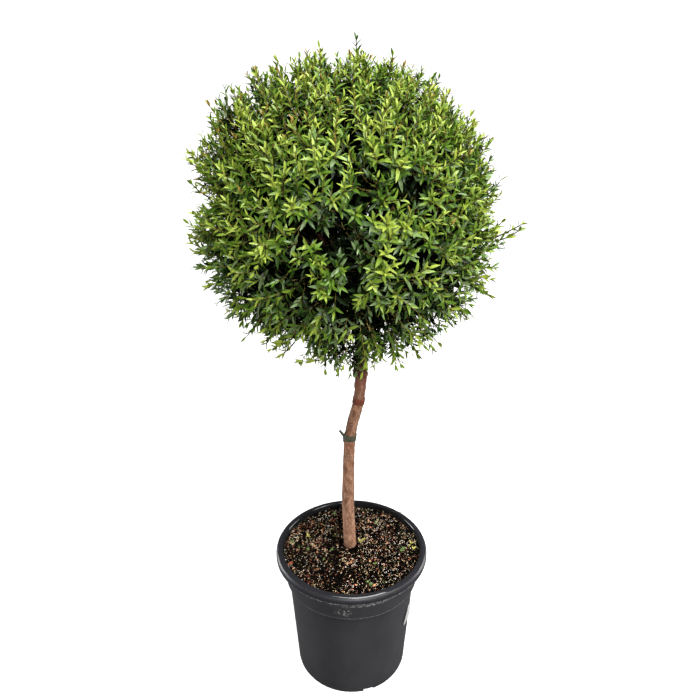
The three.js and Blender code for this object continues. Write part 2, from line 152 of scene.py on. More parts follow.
def around(count):
    """Evenly spaced angles of a full turn."""
    return np.arange(count) / count * 2 * math.pi


def add_object(name, data):
    made = bpy.data.objects.new(name, data)
    bpy.context.scene.collection.objects.link(made)
    return made


def result_of(piece, modifier):
    """The plain mesh that a modifier makes of an object. The modifier is taken off."""
    bpy.context.view_layer.update()
    mesh = bpy.data.meshes.new_from_object(piece.evaluated_get(bpy.context.evaluated_depsgraph_get()))
    piece.modifiers.remove(modifier)
    return mesh


# ---- Node trees ----


def plug(tree, node, values):
    """Sets or links a node's sockets. A key is a socket's identifier, name or number."""
    for key, value in values.items():
        if isinstance(key, int):
            socket = node.inputs[key]
        else:
            socket = next(s for s in node.inputs if key in (s.identifier, s.name) and s.enabled)
        if isinstance(value, Channel):
            tree.links.new(value.socket, socket)
        else:
            socket.default_value = value


class Nodes:
    """What surface finishes and rules share: nodes that are made with their settings and inputs."""

    def node(self, kind, values, output=0, **settings):
        made = self.tree.nodes.new(kind)
        for name, value in settings.items():
            setattr(made, name, value)
        plug(self.tree, made, values)
        return Channel(self, made.outputs[output])


class Channel:
    """One socket of a node tree. Sums, products and powers of it add Math nodes."""

    def __init__(self, owner, socket):
        self.owner = owner
        self.socket = socket

    def join(self, operation, other=0.0):
        return self.owner.node("ShaderNodeMath", {0: self, 1: other}, operation=operation)

    def __rsub__(self, other):
        return self.owner.node("ShaderNodeMath", {0: other, 1: self}, operation="SUBTRACT")

    __add__ = __radd__ = partialmethod(join, "ADD")
    __mul__ = __rmul__ = partialmethod(join, "MULTIPLY")
    __sub__ = partialmethod(join, "SUBTRACT")
    __truediv__ = partialmethod(join, "DIVIDE")
    __pow__ = partialmethod(join, "POWER")
    __abs__ = partialmethod(join, "ABSOLUTE")

    def held(self):
        """The value kept between 0 and 1."""
        return self.join("MAXIMUM", 0.0).join("MINIMUM", 1.0)

    def near(self, level, reach):
        """1 at a level, 0 once further from it than the reach."""
        return 1 - (abs(self - level) / reach).held()

    def above(self, level, softness):
        """0 below a level, 1 once past it by the softness."""
        return ((self - level) / softness).held()


# ---- Finishes ----

LONG = (1.0, 1.0, 0.5)  # a pattern stretched upwards


class Finish(Nodes):
    """A surface finish: one Principled shader and what feeds it."""

    def __init__(self, name, colour, roughness, specular, **more):
        self.material = bpy.data.materials.new(name)
        self.material.use_nodes = True
        self.material.diffuse_color = colour
        self.tree = self.material.node_tree
        self.shader = self.tree.nodes["Principled BSDF"]
        self.feed(Base_Color=colour, Roughness=roughness, Specular_IOR_Level=specular, **more)

    def place(self, stretch=(1.0, 1.0, 1.0)):
        """Object coordinates, stretched along each axis."""
        where = self.node("ShaderNodeTexCoord", {}, "Object")
        return self.node("ShaderNodeMapping", {"Vector": where, "Scale": stretch})

    def axis(self, name):
        return self.node("ShaderNodeSeparateXYZ", {"Vector": self.place()}, name)

    def noise(self, scale, detail=4.0, stretch=(1.0, 1.0, 1.0)):
        values = {"Vector": self.place(stretch), "Scale": scale, "Detail": detail}
        return self.node("ShaderNodeTexNoise", values)

    def mix(self, share, first, second):
        values = {"Factor_Float": share, "A_Color": first, "B_Color": second}
        return self.node("ShaderNodeMix", values, 2, data_type="RGBA")

    def ramp(self, share, *stops):
        """A run of colours. Each stop is a share and a colour in display values."""
        made = self.tree.nodes.new("ShaderNodeValToRGB")
        elements = made.color_ramp.elements
        for _ in stops[2:]:
            elements.new(1.0)
        for element, (position, *colour) in zip(elements, stops):
            element.position = position
            element.color = srgb(*colour)
        plug(self.tree, made, {"Fac": share})
        return Channel(self, made.outputs[0])

    def feed(self, **channels):
        plug(self.tree, self.shader, {name.replace("_", " "): value for name, value in channels.items()})

    def with_relief(self, ground, height, depth, strength):
        """The material, with a ground colour and a relief."""
        relief = {"Height": height, "Distance": depth, "Strength": strength}
        self.feed(Base_Color=ground, Normal=self.node("ShaderNodeBump", relief))
        return self.material

    def mottled(self, patches, dark, light, grain, depth, strength):
        """The material, of two tones in soft patches, with a fine relief. Patches and grain are noises."""
        ground = self.ramp(self.noise(*patches), dark, light)
        return self.with_relief(ground, self.noise(*grain), depth, strength)


def leaf_finish(name, colour, roughness=0.42):
    """A leaf's plain colour with a soft gloss. Some tints stand for painted shade, and one for a painted
    sheen. Tints are dealt out by spray.
    """
    coat = 0.5 - 0.7 * roughness
    return Finish(name, colour, roughness, 0.7 - roughness, Coat_Weight=coat, Coat_Roughness=0.28).material


def pot_finish():
    """Dark moulded plastic, smoother on the lip, with dust under the lip and along the band's foot, and
    painted shade on the lip, inside the rim and in the drain slots.
    """
    lip_foot, lip_edge, lip_crest = 211 * MM, 216 * MM, 225.9 * MM
    under_lip, band_foot, smudge = 201.5 * MM, 175.6 * MM, 189 * MM
    rim_inside, slot_end, floor = 110.6 * MM, 89 * MM, 9 * MM
    made = Finish("charcoal_plastic", srgb(56, 56, 58), 0.5, 0.38, Coat_Roughness=0.06)
    height = made.axis("Z")
    cloudy = made.noise(22, 5, (1, 1, 0.6))
    body = made.ramp(cloudy, (0.3, 49, 49, 51), (0.72, 57, 57, 59))
    # Painted shade: above its foot the lip is darker than the body.
    body = made.mix(height.above(lip_foot, 4 * MM) * 0.9, body, srgb(34, 34, 38))
    from_axis = (made.axis("X") ** 2 + made.axis("Y") ** 2) ** 0.5
    # Painted shade: near black inside the rim and in the drain slots.
    inside = height.above(lip_foot, 2 * MM) * (1 - from_axis.above(rim_inside, 2.4 * MM))
    painted_shade_in_slots = (1 - height.above(floor, 1 * MM)) * (1 - from_axis.above(slot_end, 0.8 * MM))
    body = made.mix((inside + painted_shade_in_slots).held(), body, srgb(8, 8, 10))
    broken = made.noise(420, 6).above(0.46, 0.08)
    streaks = made.noise(330, 5).above(0.54, 0.08)
    wide_breaks = made.noise(14, 2).above(0.36, 0.1)
    dust = height.near(under_lip, 3.2 * MM) * broken * wide_breaks
    dust = dust + height.near(lip_edge, 2 * MM) * broken * 0.4
    dust = dust + height.near(band_foot, 1.6 * MM) * (streaks * 0.3 + 0.12)
    dust = dust + height.near(smudge, 10 * MM) * made.axis("X").near(-11 * MM, 17 * MM) * streaks * 0.7
    dust = (dust + made.noise(1100, 2).above(0.66, 0.05) * 0.12).held() * 0.85
    lip = height.above(lip_foot + 2 * MM, 3 * MM)
    crest = height.above(lip_crest, 0.4 * MM)
    roughness = made.noise(35, 4) * 0.12 + 0.46 - lip * 0.06 - crest * 0.36 + dust * 0.3
    made.feed(Roughness=roughness, Coat_Weight=crest * 0.4)
    grain = made.noise(1500, 3) + made.noise(90, 3) * 0.5 + dust * 0.6
    return made.with_relief(made.mix(dust, body, srgb(206, 204, 200)), grain, 0.1 * MM, 0.5 - lip * 0.35)


def bark_finish():
    """Light pinkish bark with small dark flecks, redder under the tie and blotched towards the ball, with
    dark blotches just under it that are partly painted shade.
    """
    foot, ring, kink, neck = 220 * MM, 409 * MM, 488 * MM, 517 * MM
    made = Finish("stem_bark", srgb(184, 144, 116), 0.74, 0.22)
    height = made.axis("Z")
    tones = (0.32, 101, 67, 51), (0.5, 141, 103, 80), (0.68, 168, 129, 103)
    ground = made.ramp(made.noise(150, 6, LONG), *tones)
    flecks = made.noise(640, 5, (1, 1, 0.6)).above(0.55, 0.05)
    pale = made.noise(560, 3, (1, 1, 0.7)).above(0.6, 0.05)
    rusty = made.noise(70, 5, (1, 1, 0.6)).above(0.54, 0.14)
    upper = height.above(kink, 14 * MM) * made.noise(110, 4, LONG).above(0.36, 0.16)
    # Dark blotches on the neck under the ball: partly the bark's own tone, partly painted shade.
    neck_blotches_and_shade = height.above(neck, 12 * MM) * made.noise(90, 4).above(0.3, 0.16)
    red_ring = height.near(ring, 7 * MM) * made.noise(210, 3).above(0.35, 0.2)
    for share, colour in (
        (flecks * 0.75, srgb(112, 74, 56)),
        (pale * 0.6, srgb(212, 176, 150)),
        (rusty * 0.4, srgb(168, 112, 84)),
        (upper * 0.7, srgb(112, 62, 49)),
        (neck_blotches_and_shade * 0.95, srgb(70, 36, 30)),
        (red_ring * 0.7, srgb(160, 92, 70)),
        ((1 - height.above(foot, 9 * MM)) * 0.5, srgb(96, 66, 52)),
    ):
        ground = made.mix(share, ground, colour)
    return made.with_relief(ground, made.noise(520, 5, LONG) - flecks * 0.4, 0.4 * MM, 0.7)


def limb_finish():
    made = Finish("limb_bark", srgb(104, 66, 48), 0.75, 0.25)
    tones = (0.3, 58, 32, 25), (0.7, 112, 70, 54)
    return made.mottled((220, 4, LONG), *tones, (500, 4, (1, 1, 0.4)), 0.3 * MM, 0.7)


def tie_finish():
    made = Finish("olive_tie", srgb(76, 74, 58), 0.5, 0.4)
    tones = (0.3, 60, 60, 46), (0.75, 92, 90, 70)
    return made.mottled((260, 4), *tones, (900, 3, (1, 1, 4)), 0.15 * MM, 0.6)


def band_finish():
    made = Finish("weathered_band", srgb(120, 58, 42), 0.66, 0.3)
    return made.mottled((330, 5), (0.32, 70, 32, 24), (0.7, 142, 76, 54), (700, 4), 0.35 * MM, 0.8)


def paper_finish():
    made = Finish("blank_tab", srgb(180, 178, 176), 0.55, 0.35)
    return made.mottled((90, 4), (0.3, 168, 166, 164), (0.7, 192, 190, 188), (160, 3), 0.4 * MM, 0.5)


def compost_finish():
    made = Finish("damp_compost", srgb(20, 15, 12), 0.95, 0.0)
    crumbs = made.node("ShaderNodeTexVoronoi", {"Vector": made.place(), "Scale": 420})
    tones = (0.4, 3, 2, 2), (0.56, 12, 9, 7), (0.7, 34, 23, 18), (0.85, 66, 46, 34)
    shade = made.ramp(made.noise(230, 6), *tones)
    ground = made.mix(made.noise(60, 3).above(0.5, 0.2) * 0.5, shade, srgb(14, 10, 9))
    return made.with_relief(ground, made.noise(600, 6) - crumbs * 0.8, 1.2 * MM, 1.0)


def grain_finish(name, colour, roughness=0.8):
    """Bark bits and grit: a plain ground colour with a fine uneven grain."""
    made = Finish(name, colour, roughness, 0.02)
    dark = tuple(0.4 * c for c in colour[:3]) + (1.0,)
    ground = made.mix(made.noise(300, 4).above(0.4, 0.12), dark, colour)
    return made.with_relief(ground, made.noise(900, 4), 0.3 * MM, 0.8)


# ---- Meshes ----

class Heap:
    """Vertices and triangles that are gathered into one mesh."""

    def __init__(self, *shapes):
        self.vertices, self.triangles = [], []
        self.count = 0
        for vertices, triangles in shapes:
            self.add(vertices, triangles)

    def add(self, vertices, triangles):
        vertices = np.asarray(vertices, float).reshape(-1, 3)
        self.vertices.append(vertices)
        self.triangles.append(np.asarray(triangles, int).reshape(-1, 3) + self.count)
        self.count += len(vertices)

    def object(self, name, material=None, smooth=True):
        triangles = np.concatenate(self.triangles)
        mesh = bpy.data.meshes.new(name)
        mesh.vertices.add(self.count)
        mesh.vertices.foreach_set("co", np.concatenate(self.vertices).ravel())
        mesh.loops.add(triangles.size)
        mesh.loops.foreach_set("vertex_index", triangles.ravel())
        mesh.polygons.add(len(triangles))
        mesh.polygons.foreach_set("loop_start", np.arange(0, triangles.size, 3))
        mesh.update(calc_edges=True)
        mesh.validate()
        if smooth:
            mesh.polygons.foreach_set("use_smooth", np.ones(len(triangles), bool))
        if material:
            mesh.materials.append(material)
        return add_object(name, mesh)


def grid_triangles(rows, columns, closed=True):
    """Triangles between rows of vertices. Each row closes on itself where closed is set."""
    span = columns if closed else columns - 1
    i, j = np.meshgrid(np.arange(rows - 1), np.arange(span), indexing="ij")
    k = (j + 1) % columns
    a, b, c, d = i * columns + j, i * columns + k, (i + 1) * columns + k, (i + 1) * columns + j
    return np.concatenate([np.stack([a, b, c], -1).reshape(-1, 3), np.stack([a, c, d], -1).reshape(-1, 3)])


def closed_body(rows, first, last):
    """Rows of vertices round a body, closed over a middle point at each end."""
    count, sides = rows.shape[:2]
    j = np.arange(sides)
    k = (j + 1) % sides
    middle = np.full(sides, count * sides)
    base = (count - 1) * sides
    caps = [np.stack([middle, k, j], 1), np.stack([middle + 1, base + j, base + k], 1)]
    vertices = np.concatenate([rows.reshape(-1, 3), [first, last]])
    return vertices, np.concatenate([grid_triangles(count, sides), *caps])


def tube(points, radii, sides):
    """A closed tube along a path. radii has one value for each point, or one row of values round it."""
    across = np.empty_like(points)
    along = unit(np.gradient(points, axis=0))
    side = np.array([1.0, 0.0, 0.0])
    for i, direction in enumerate(along):
        side = unit(side - direction * side.dot(direction))
        across[i] = side
    beside = np.cross(along, across)
    turn = around(sides)[None, :, None]
    ring = across[:, None] * np.cos(turn) + beside[:, None] * np.sin(turn)
    radii = np.broadcast_to(np.asarray(radii).reshape(len(points), -1), (len(points), sides))
    return closed_body(points[:, None] + ring * radii[..., None], points[0], points[-1])


def level_ring(radius, height, count):
    """Vertices of a level ring round the axis."""
    turn = around(count)
    return np.column_stack([radius * np.cos(turn), radius * np.sin(turn), np.full(count, height)])


def revolved(profile, segments):
    """A closed body of revolution. Its profile starts and ends on the axis, with the outside first."""
    rows = np.array([level_ring(radius, height, segments) for radius, height in profile[1:-1]])
    return closed_body(rows, [0, 0, profile[0, 1]], [0, 0, profile[-1, 1]])


def arc(centre, radius, start, end, steps):
    """Points of an arc in a profile. Angles in degrees from outwards, turning up."""
    a = np.radians(np.linspace(start, end, steps))
    return np.stack([centre[0] + radius * np.cos(a), centre[1] + radius * np.sin(a)], 1)


def bezier(first, second, third, fourth, t):
    t = t[:, None]
    return (1 - t) ** 3 * first + 3 * t * (1 - t) ** 2 * second + 3 * t**2 * (1 - t) * third + t**3 * fourth


# ---- Geometry Nodes ----


class Rule(Nodes):
    """A Geometry Nodes tree with named inputs, run once on an object and turned to a plain mesh."""

    def __init__(self, name, **inputs):
        self.tree = bpy.data.node_groups.new(name, "GeometryNodeTree")
        sockets = self.tree.interface
        self.identifiers = {}
        for label, kind in {"Geometry": "Geometry", **inputs}.items():
            socket = sockets.new_socket(label, in_out="INPUT", socket_type="NodeSocket" + kind)
            self.identifiers[label] = socket.identifier
        sockets.new_socket("Geometry", in_out="OUTPUT", socket_type="NodeSocketGeometry")
        self.given = self.tree.nodes.new("NodeGroupInput")

    def input(self, label):
        return Channel(self, self.given.outputs[label])

    def finish(self, geometry):
        real = self.node("GeometryNodeRealizeInstances", {"Geometry": geometry})
        painted = self.node("GeometryNodeSetMaterial", {"Geometry": real, "Material": self.input("Finish")})
        plug(self.tree, self.tree.nodes.new("NodeGroupOutput"), {"Geometry": painted})

    def run(self, name, source, **values):
        """The mesh that the rule makes of a source object, as a new object. The source is used up."""
        modifier = source.modifiers.new(name, "NODES")
        modifier.node_group = self.tree
        for label, value in values.items():
            modifier[self.identifiers[label]] = value
        mesh = result_of(source, modifier)
        bpy.data.objects.remove(source)
        mesh.name = name
        return add_object(name, mesh)


def twig_rule():
    """Tubes along the edges of a mesh, as thick as its vertices' thickness attribute says."""
    rule = Rule("twigs_along_lines", Sides="Int", Finish="Material")
    lines = rule.node("GeometryNodeMeshToCurve", {"Mesh": rule.input("Geometry")})
    thickness = rule.node("GeometryNodeInputNamedAttribute", {"Name": "thickness"}, data_type="FLOAT")
    ring = rule.node("GeometryNodeCurvePrimitiveCircle", {"Resolution": rule.input("Sides"), "Radius": 1.0})
    values = {"Curve": lines, "Profile Curve": ring, "Scale": thickness, "Fill Caps": True}
    rule.finish(rule.node("GeometryNodeCurveToMesh", values))
    return rule


def scatter_rule():
    """Grains strewn over a surface, each turned and sized by chance."""
    amounts = dict.fromkeys(("Density", "Patches", "Smallest", "Largest", "Flatness"), "Float")
    rule = Rule("grains_on_surface", **amounts, Seed="Int", Grain="Object", Finish="Material")
    seed, tilt = rule.input("Seed"), rule.input("Flatness")

    def chance(lowest, highest, step):
        values = {"Min_001": lowest, "Max_001": highest, "Seed": seed + step}
        return rule.node("FunctionNodeRandomValue", values, 1, data_type="FLOAT")

    values = {"W": seed + 0.37, "Scale": rule.input("Patches"), "Detail": 2.0}
    patch = rule.node("ShaderNodeTexNoise", values, noise_dimensions="4D")
    density = rule.input("Density") * (patch.above(0.42, 0.2) * 1.5 + 0.15)
    values = {"Mesh": rule.input("Geometry"), "Density": density, "Seed": seed}
    points = rule.node("GeometryNodeDistributePointsOnFaces", values, distribute_method="RANDOM")
    grain = rule.node("GeometryNodeObjectInfo", {"Object": rule.input("Grain")}, "Geometry")
    lean, roll = (chance(tilt * -1.0, tilt, step) for step in (1, 2))
    turned = rule.node("ShaderNodeCombineXYZ", {"X": lean, "Y": roll, "Z": chance(-math.pi, math.pi, 0)})
    size = chance(rule.input("Smallest"), rule.input("Largest"), 3)
    values = {"Points": points, "Instance": grain, "Rotation": turned, "Scale": size}
    rule.finish(rule.node("GeometryNodeInstanceOnPoints", values))
    return rule


# ---- Pot ----

POT_SEGMENTS = 160
DRAIN_COUNT = 4
DRAIN_TURN = 0.31
DRAIN_SIZE = np.array([15, 17, 15]) * MM
DRAIN_OUT = 89.5 * MM
SHARP_FROM = math.radians(40)  # edges of the pot that turn further stay sharp


def pot_profile():
    """From the middle of the underside round the outside, over the lip and down the inside."""
    points = [
        [[0, 0], [60, 0], [84, 0]],
        arc((85, 6.5), 6.5, -90, -6, 7),
        [[92.9, 30], [96.2, 80], [99.9, 134], [102.4, 170.6]],
        arc((104.6, 171.3), 2, 172, 108, 4),
        arc((105.6, 175.7), 2, -70, -4, 5),
        [[108.4, 188], [109.4, 206]],
        arc((112.6, 208.6), 3.1, 176, 96, 6),
        [[117.6, 212.2]],
        arc((118.4, 215.6), 3.6, -80, 0, 6),
        arc((114.3, 220.3), 7.7, 2, 88, 16),
        arc((113.2, 225.2), 2.8, 92, 178, 7),
        [[109.9, 218], [109.2, 210], [106.4, 176], [100.8, 170.6], [88.8, 9]],
        [[81.5, 3], [40, 3], [0, 3]],
    ]
    return np.concatenate([np.asarray(part, float) for part in points]) * MM


def make_pot(material):
    """The pot, with drainage slots cut through the foot of its wall."""
    pot = Heap(revolved(pot_profile(), POT_SEGMENTS)).object("nursery_pot", material)
    ends = (-0.5, 0.5)
    corners = np.array([[x, y, z] for z in ends for y in ends for x in ends]) * DRAIN_SIZE
    deep, wide, tall = np.split(corners, 3, axis=1)
    faces = [[0, 2, 3], [0, 3, 1], [4, 5, 7], [4, 7, 6], [0, 1, 5], [0, 5, 4]]
    faces += [[2, 6, 7], [2, 7, 3], [0, 4, 6], [0, 6, 2], [1, 3, 7], [1, 7, 5]]
    cutter = Heap()
    for a in DRAIN_TURN + around(DRAIN_COUNT):
        out = np.array([math.cos(a), math.sin(a), 0])
        beside = np.array([-math.sin(a), math.cos(a), 0])
        cutter.add(deep * out + wide * beside + tall * UP + out * DRAIN_OUT, faces)
    cutter = cutter.object("drain_cutter", smooth=False)
    cut = pot.modifiers.new("drains", "BOOLEAN")
    cut.object = cutter
    cut.operation = "DIFFERENCE"
    cut.solver = "EXACT"
    pot.data = result_of(pot, cut)
    pot.data.set_sharp_from_angle(angle=SHARP_FROM)
    bpy.data.objects.remove(cutter)
    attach(pot, "root")
    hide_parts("pot")


TAB_TURN = (-32, -26)  # azimuths of its foot and its head
TAB_LOW, TAB_HIGH = 107 * MM, 144 * MM
TAB_HALF = 4.6 * MM
TAB_LIFT = 4 * MM
TAB_THICK, TAB_CLEAR = 0.35 * MM, 0.4 * MM
WALL_HEIGHTS, WALL_RADII = np.array([80, 134, 170]) * MM, np.array([96.2, 99.9, 102.4]) * MM


def make_tab(material):
    """The blank rest of a paper tab on the pot's wall, twisted away from it."""
    rows, columns = 14, 6
    rise, wide = np.meshgrid(np.linspace(0, 1, rows), np.linspace(-1, 1, columns), indexing="ij")
    z = TAB_LOW + rise * (TAB_HIGH - TAB_LOW)
    wall = np.interp(z, WALL_HEIGHTS, WALL_RADII)
    half = TAB_HALF * np.sin(0.15 + 2.8 * rise) ** 0.7
    curl = np.sin(0.1 + 2.4 * rise) * 0.6 + wide * np.sin(0.3 + 2.2 * rise) * 0.3 + 0.3
    lift = np.maximum(TAB_LIFT * curl + TAB_CLEAR, TAB_CLEAR)
    turn = np.radians(TAB_TURN[0] + (TAB_TURN[1] - TAB_TURN[0]) * rise) + wide * half / RIM_RADIUS
    sheets = []
    for radius in (wall + lift, wall + lift + TAB_THICK):
        sheets.append(np.stack([radius * np.cos(turn), radius * np.sin(turn), z], -1).reshape(-1, 3))
    faces = grid_triangles(rows, columns, closed=False)
    place = np.arange(rows * columns).reshape(rows, columns)
    edge = np.concatenate([place[-2::-1, 0], place[0, 1:], place[1:, -1], place[-1, -2::-1]])
    after = np.roll(edge, -1)
    rim = [np.stack([edge, after, after + z.size], 1), np.stack([edge, after + z.size, edge + z.size], 1)]
    triangles = np.concatenate([faces[:, ::-1], faces + z.size, *rim])
    tab = Heap((np.concatenate(sheets), triangles)).object("paper_tab", material, smooth=False)
    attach(tab, "root")


# ---- Compost ----

COMPOST_EDGE = 109.2 * MM
COMPOST_FLAT = 12 * MM  # radius of the level ground round the stem
COMPOST_WALL = np.array([[80, 4], [87.6, 9.5], [99.8, 170], [105.4, 176]]) * MM  # radii and heights


def compost_height(x, y):
    """Gently uneven ground with crumbs, level round the foot of the stem."""
    calm = np.clip((np.hypot(x + 2 * MM, y - 8 * MM) - COMPOST_FLAT) / (20 * MM), 0, 1)
    x, y = x / MM, y / MM
    q, r = x * 0.09, y * 0.09
    swell = (np.sin(q + 1.7 * r) + np.sin(1.3 * r + 2) + np.sin(0.8 * q + 4)) / 3
    fine = np.sin(x * 0.9 + 2 * np.sin(y * 0.7)) * np.sin(y * 0.83 + 1.5 * np.sin(x * 0.61))
    crumbs = np.sin(x * 2.3 + y) * np.sin(y * 2.9 - x * 0.7 + 1)
    return COMPOST_TOP + (1.7 * swell * calm + 0.9 * fine * (0.3 + 0.7 * calm) + 0.5 * crumbs) * MM


def on_compost(x, y, lift):
    """A place in millimetres from the axis, lifted a little off the compost."""
    return np.array([x * MM, y * MM, compost_height(x * MM, y * MM) + lift])


def compost_surface(rings, segments, inner):
    """Rings of vertices over the compost's top, from the pot's wall to an inner radius."""
    rows = np.array([level_ring(radius, 0, segments) for radius in np.linspace(COMPOST_EDGE, inner, rings)])
    rows[..., 2] = compost_height(rows[..., 0], rows[..., 1])
    return rows


def make_compost(material):
    rings, segments = 120, 260
    below = [level_ring(radius, height, segments) for radius, height in COMPOST_WALL]
    rows = np.concatenate([below, compost_surface(rings, segments, 0.5 * MM)])
    body = closed_body(rows, [0, 0, COMPOST_WALL[0, 1]], [0, 0, COMPOST_TOP])
    compost = Heap(body).object("compost_fill", material)
    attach(compost, "root")
    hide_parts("compost")


def lump(stretch, roughness, seed):
    """Corners and faces of a small rough lump, a unit long."""
    golden = (1 + 5**0.5) / 2
    corners = [[x, y, 0] for y in (golden, -golden) for x in (-1, 1)]
    corners += [[0, y, z] for z in (golden, -golden) for y in (-1, 1)]
    corners += [[x, 0, z] for x in (golden, -golden) for z in (-1, 1)]
    faces = [[0, 11, 5], [0, 5, 1], [0, 1, 7], [0, 7, 10], [0, 10, 11], [1, 5, 9], [5, 11, 4], [11, 10, 2]]
    faces += [[10, 7, 6], [7, 1, 8], [3, 9, 4], [3, 4, 2], [3, 2, 6], [3, 6, 8], [3, 8, 9], [4, 9, 5]]
    faces += [[2, 4, 11], [6, 2, 10], [8, 6, 7], [9, 8, 1]]
    shake = np.random.default_rng(seed).uniform(1 - roughness, 1 + roughness, (12, 3))
    return unit(np.array(corners)) * 0.5 * shake * np.array(stretch), faces


# What lies on the compost: a lump's stretch, count on each square centimetre, size in millimetres, colour.
GRAINS = {
    "compost_crumbs": ((1, 0.8, 0.7), 12, (1.4, 4), srgb(8, 6, 5)),
    "bark_dark": ((1, 0.55, 0.35), 9, (3, 8), srgb(17, 12, 10)),
    "bark_red": ((1, 0.5, 0.28), 2.2, (2.2, 6), srgb(150, 88, 64)),
    "bark_brown": ((1, 0.5, 0.3), 3, (2, 5.5), srgb(118, 86, 64)),
    "bark_tan": ((1, 0.42, 0.25), 3.0, (1.8, 5.5), srgb(230, 198, 158)),
    "bark_orange": ((1, 0.6, 0.35), 0.3, (3, 6), srgb(222, 156, 116)),
    "straw_bits": ((1, 0.16, 0.12), 1.5, (4, 9), srgb(220, 198, 156)),
    "pale_grit": ((1, 0.85, 0.8), 5.2, (0.9, 2.3), srgb(252, 244, 230)),
    "moss_crumbs": ((1, 0.9, 0.7), 2.6, (1.4, 3.2), srgb(88, 94, 56)),
}
PATCHES = 34  # how many patches of grains there are in a metre
GRAIN_TILT = 0.9
SQUARE_CM = 1e-4


# Larger chips, listed one by one: place, length, turn in degrees, and the kind that they look like.
CHIPS = [
    (-97, -38, 13, 25, "bark_red"),
    (-92, -22, 9, 70, "bark_tan"),
    (-55, -52, 13, 10, "bark_brown"),
    (-7, -36, 7, 20, "bark_orange"),
    (-1, -35, 6, 80, "bark_orange"),
    (86, 90, 8, 75, "bark_tan"),
    (34, -86, 8, 35, "bark_orange"),
    (-88, 52, 8, 60, "bark_red"),
    (-70, 66, 10, 40, "bark_brown"),
    (88, 26, 10, 5, "bark_brown"),
    (62, 52, 6, 100, "bark_orange"),
    (-8, -6, 6, 0, "straw_bits"),
    (66, -52, 9, 50, "straw_bits"),
    (-98, 8, 10, 35, "straw_bits"),
]


def laid_chips(kind, stretch):
    """The larger chips of one kind, as one heap."""
    chips = Heap()
    for i, (x, y, length, turn, chip_kind) in enumerate(CHIPS):
        if chip_kind == kind:
            corners, faces = lump((1, max(stretch[1], 0.3), max(stretch[2], 0.25)), 0.25, SEED + 20 + i)
            a = math.radians(turn)
            long, wide, tall = corners.T
            turned = [long * math.cos(a) - wide * math.sin(a), long * math.sin(a) + wide * math.cos(a)]
            corners = np.stack([*turned, tall + 0.25 * long], 1) * length * MM
            chips.add(corners + on_compost(x, y, 1.2 * MM), faces)
    return chips


def make_grains():
    """Bark bits, straw, grit and moss strewn over the compost, and the larger chips among them."""
    rule = scatter_rule()
    rings, segments = 60, 160
    for i, (name, (stretch, density, (small, large), colour)) in enumerate(GRAINS.items()):
        finish = grain_finish(name, colour)
        sheet = Heap((compost_surface(rings, segments, 11 * MM), grid_triangles(rings, segments)))
        grain = Heap(lump(stretch, 0.3, SEED + i)).object(name + "_lump", smooth=False)
        strewn = rule.run(
            name,
            sheet.object(name + "_sheet"),
            Density=density / SQUARE_CM,
            Patches=PATCHES,
            Smallest=small * MM,
            Largest=large * MM,
            Seed=11 * i + 5,
            Flatness=GRAIN_TILT,
            Grain=grain,
            Finish=finish,
        )
        bpy.data.objects.remove(grain)
        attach(strewn, "root")
        chips = laid_chips(name, stretch)
        if chips.count:
            chips = chips.object(name + "_chips", finish, smooth=False)
            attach(chips, "root")


# ---- Leaves ----

# A leaf's cross-rows: how far along it, and how wide there. Plain leaves are for the ball's dark inside.
FULL_LEAF = np.array([[0.13, 0.5], [0.42, 1.0], [0.74, 0.7]])
PLAIN_LEAF = np.array([[0.45, 1.0]])


def leaf_faces(rows):
    """Triangles of one leaf: its foot, rows of left edge, midrib and right edge, and its tip."""
    faces = [[0, 1, 2], [0, 2, 3]]
    for row in range(1, rows):
        a, b = 3 * row - 2, 3 * row + 1
        faces += [[a, b, b + 1], [a, b + 1, a + 1], [a + 1, b + 1, b + 2], [a + 1, b + 2, a + 2]]
    last, tip = 3 * rows - 2, 3 * rows + 1
    return np.array(faces + [[last, tip, last + 1], [last + 1, tip, last + 2]])


def add_leaves(heap, base, along, face, length, width, arch, fold, pattern):
    """Narrow pointed leaves with a folded midrib, arched back towards their tips."""
    stations, outline = pattern.T
    face = unit(face - along * (face * along).sum(1, keepdims=True))
    side = np.cross(along, face)
    reach = length[:, None] * stations
    rise = length[:, None] * arch[:, None] * (0.5 * stations - 1.4 * stations**2)
    middle = base[:, None] + along[:, None] * reach[..., None] + face[:, None] * rise[..., None]
    half = (width[:, None] / 2 * outline)[..., None]
    raised = face[:, None] * half * fold[:, None, None]
    left = middle + side[:, None] * half + raised
    right = middle - side[:, None] * half + raised
    tip = base + along * length[:, None] - face * (0.9 * arch * length)[:, None]
    rows = np.stack([left, middle, right], 2).reshape(len(base), -1, 3)
    vertices = np.concatenate([base[:, None], rows, tip[:, None]], 1)
    triangles = leaf_faces(len(stations))[None] + np.arange(len(base))[:, None, None] * vertices.shape[1]
    heap.add(vertices, triangles)


# Weeds and seedlings on the compost: place, leaf length, leaves, whether yellow-green.
SEEDLINGS = [
    (14, 13, 6, 9, True),
    (20, 18, 5, 7, True),
    (84, -5, 5, 12, False),
    (80, -10, 4, 8, False),
    (24, -82, 4.5, 5, False),
    (30, -86, 5, 9, False),
    (-32, -10, 5, 6, False),
    (-30, 84, 6, 6, False),
    (42, 60, 4.5, 8, False),
    (-73, 28, 7, 4, True),
    (97, 6, 9, 3, True),
    (100, -8, 7, 3, True),
    (-70, -8, 4.5, 8, False),
    (-86, 0, 4, 6, False),
    (-44, -28, 4, 6, False),
    (-98, 12, 6, 4, False),
    (38, -40, 4, 6, False),
]


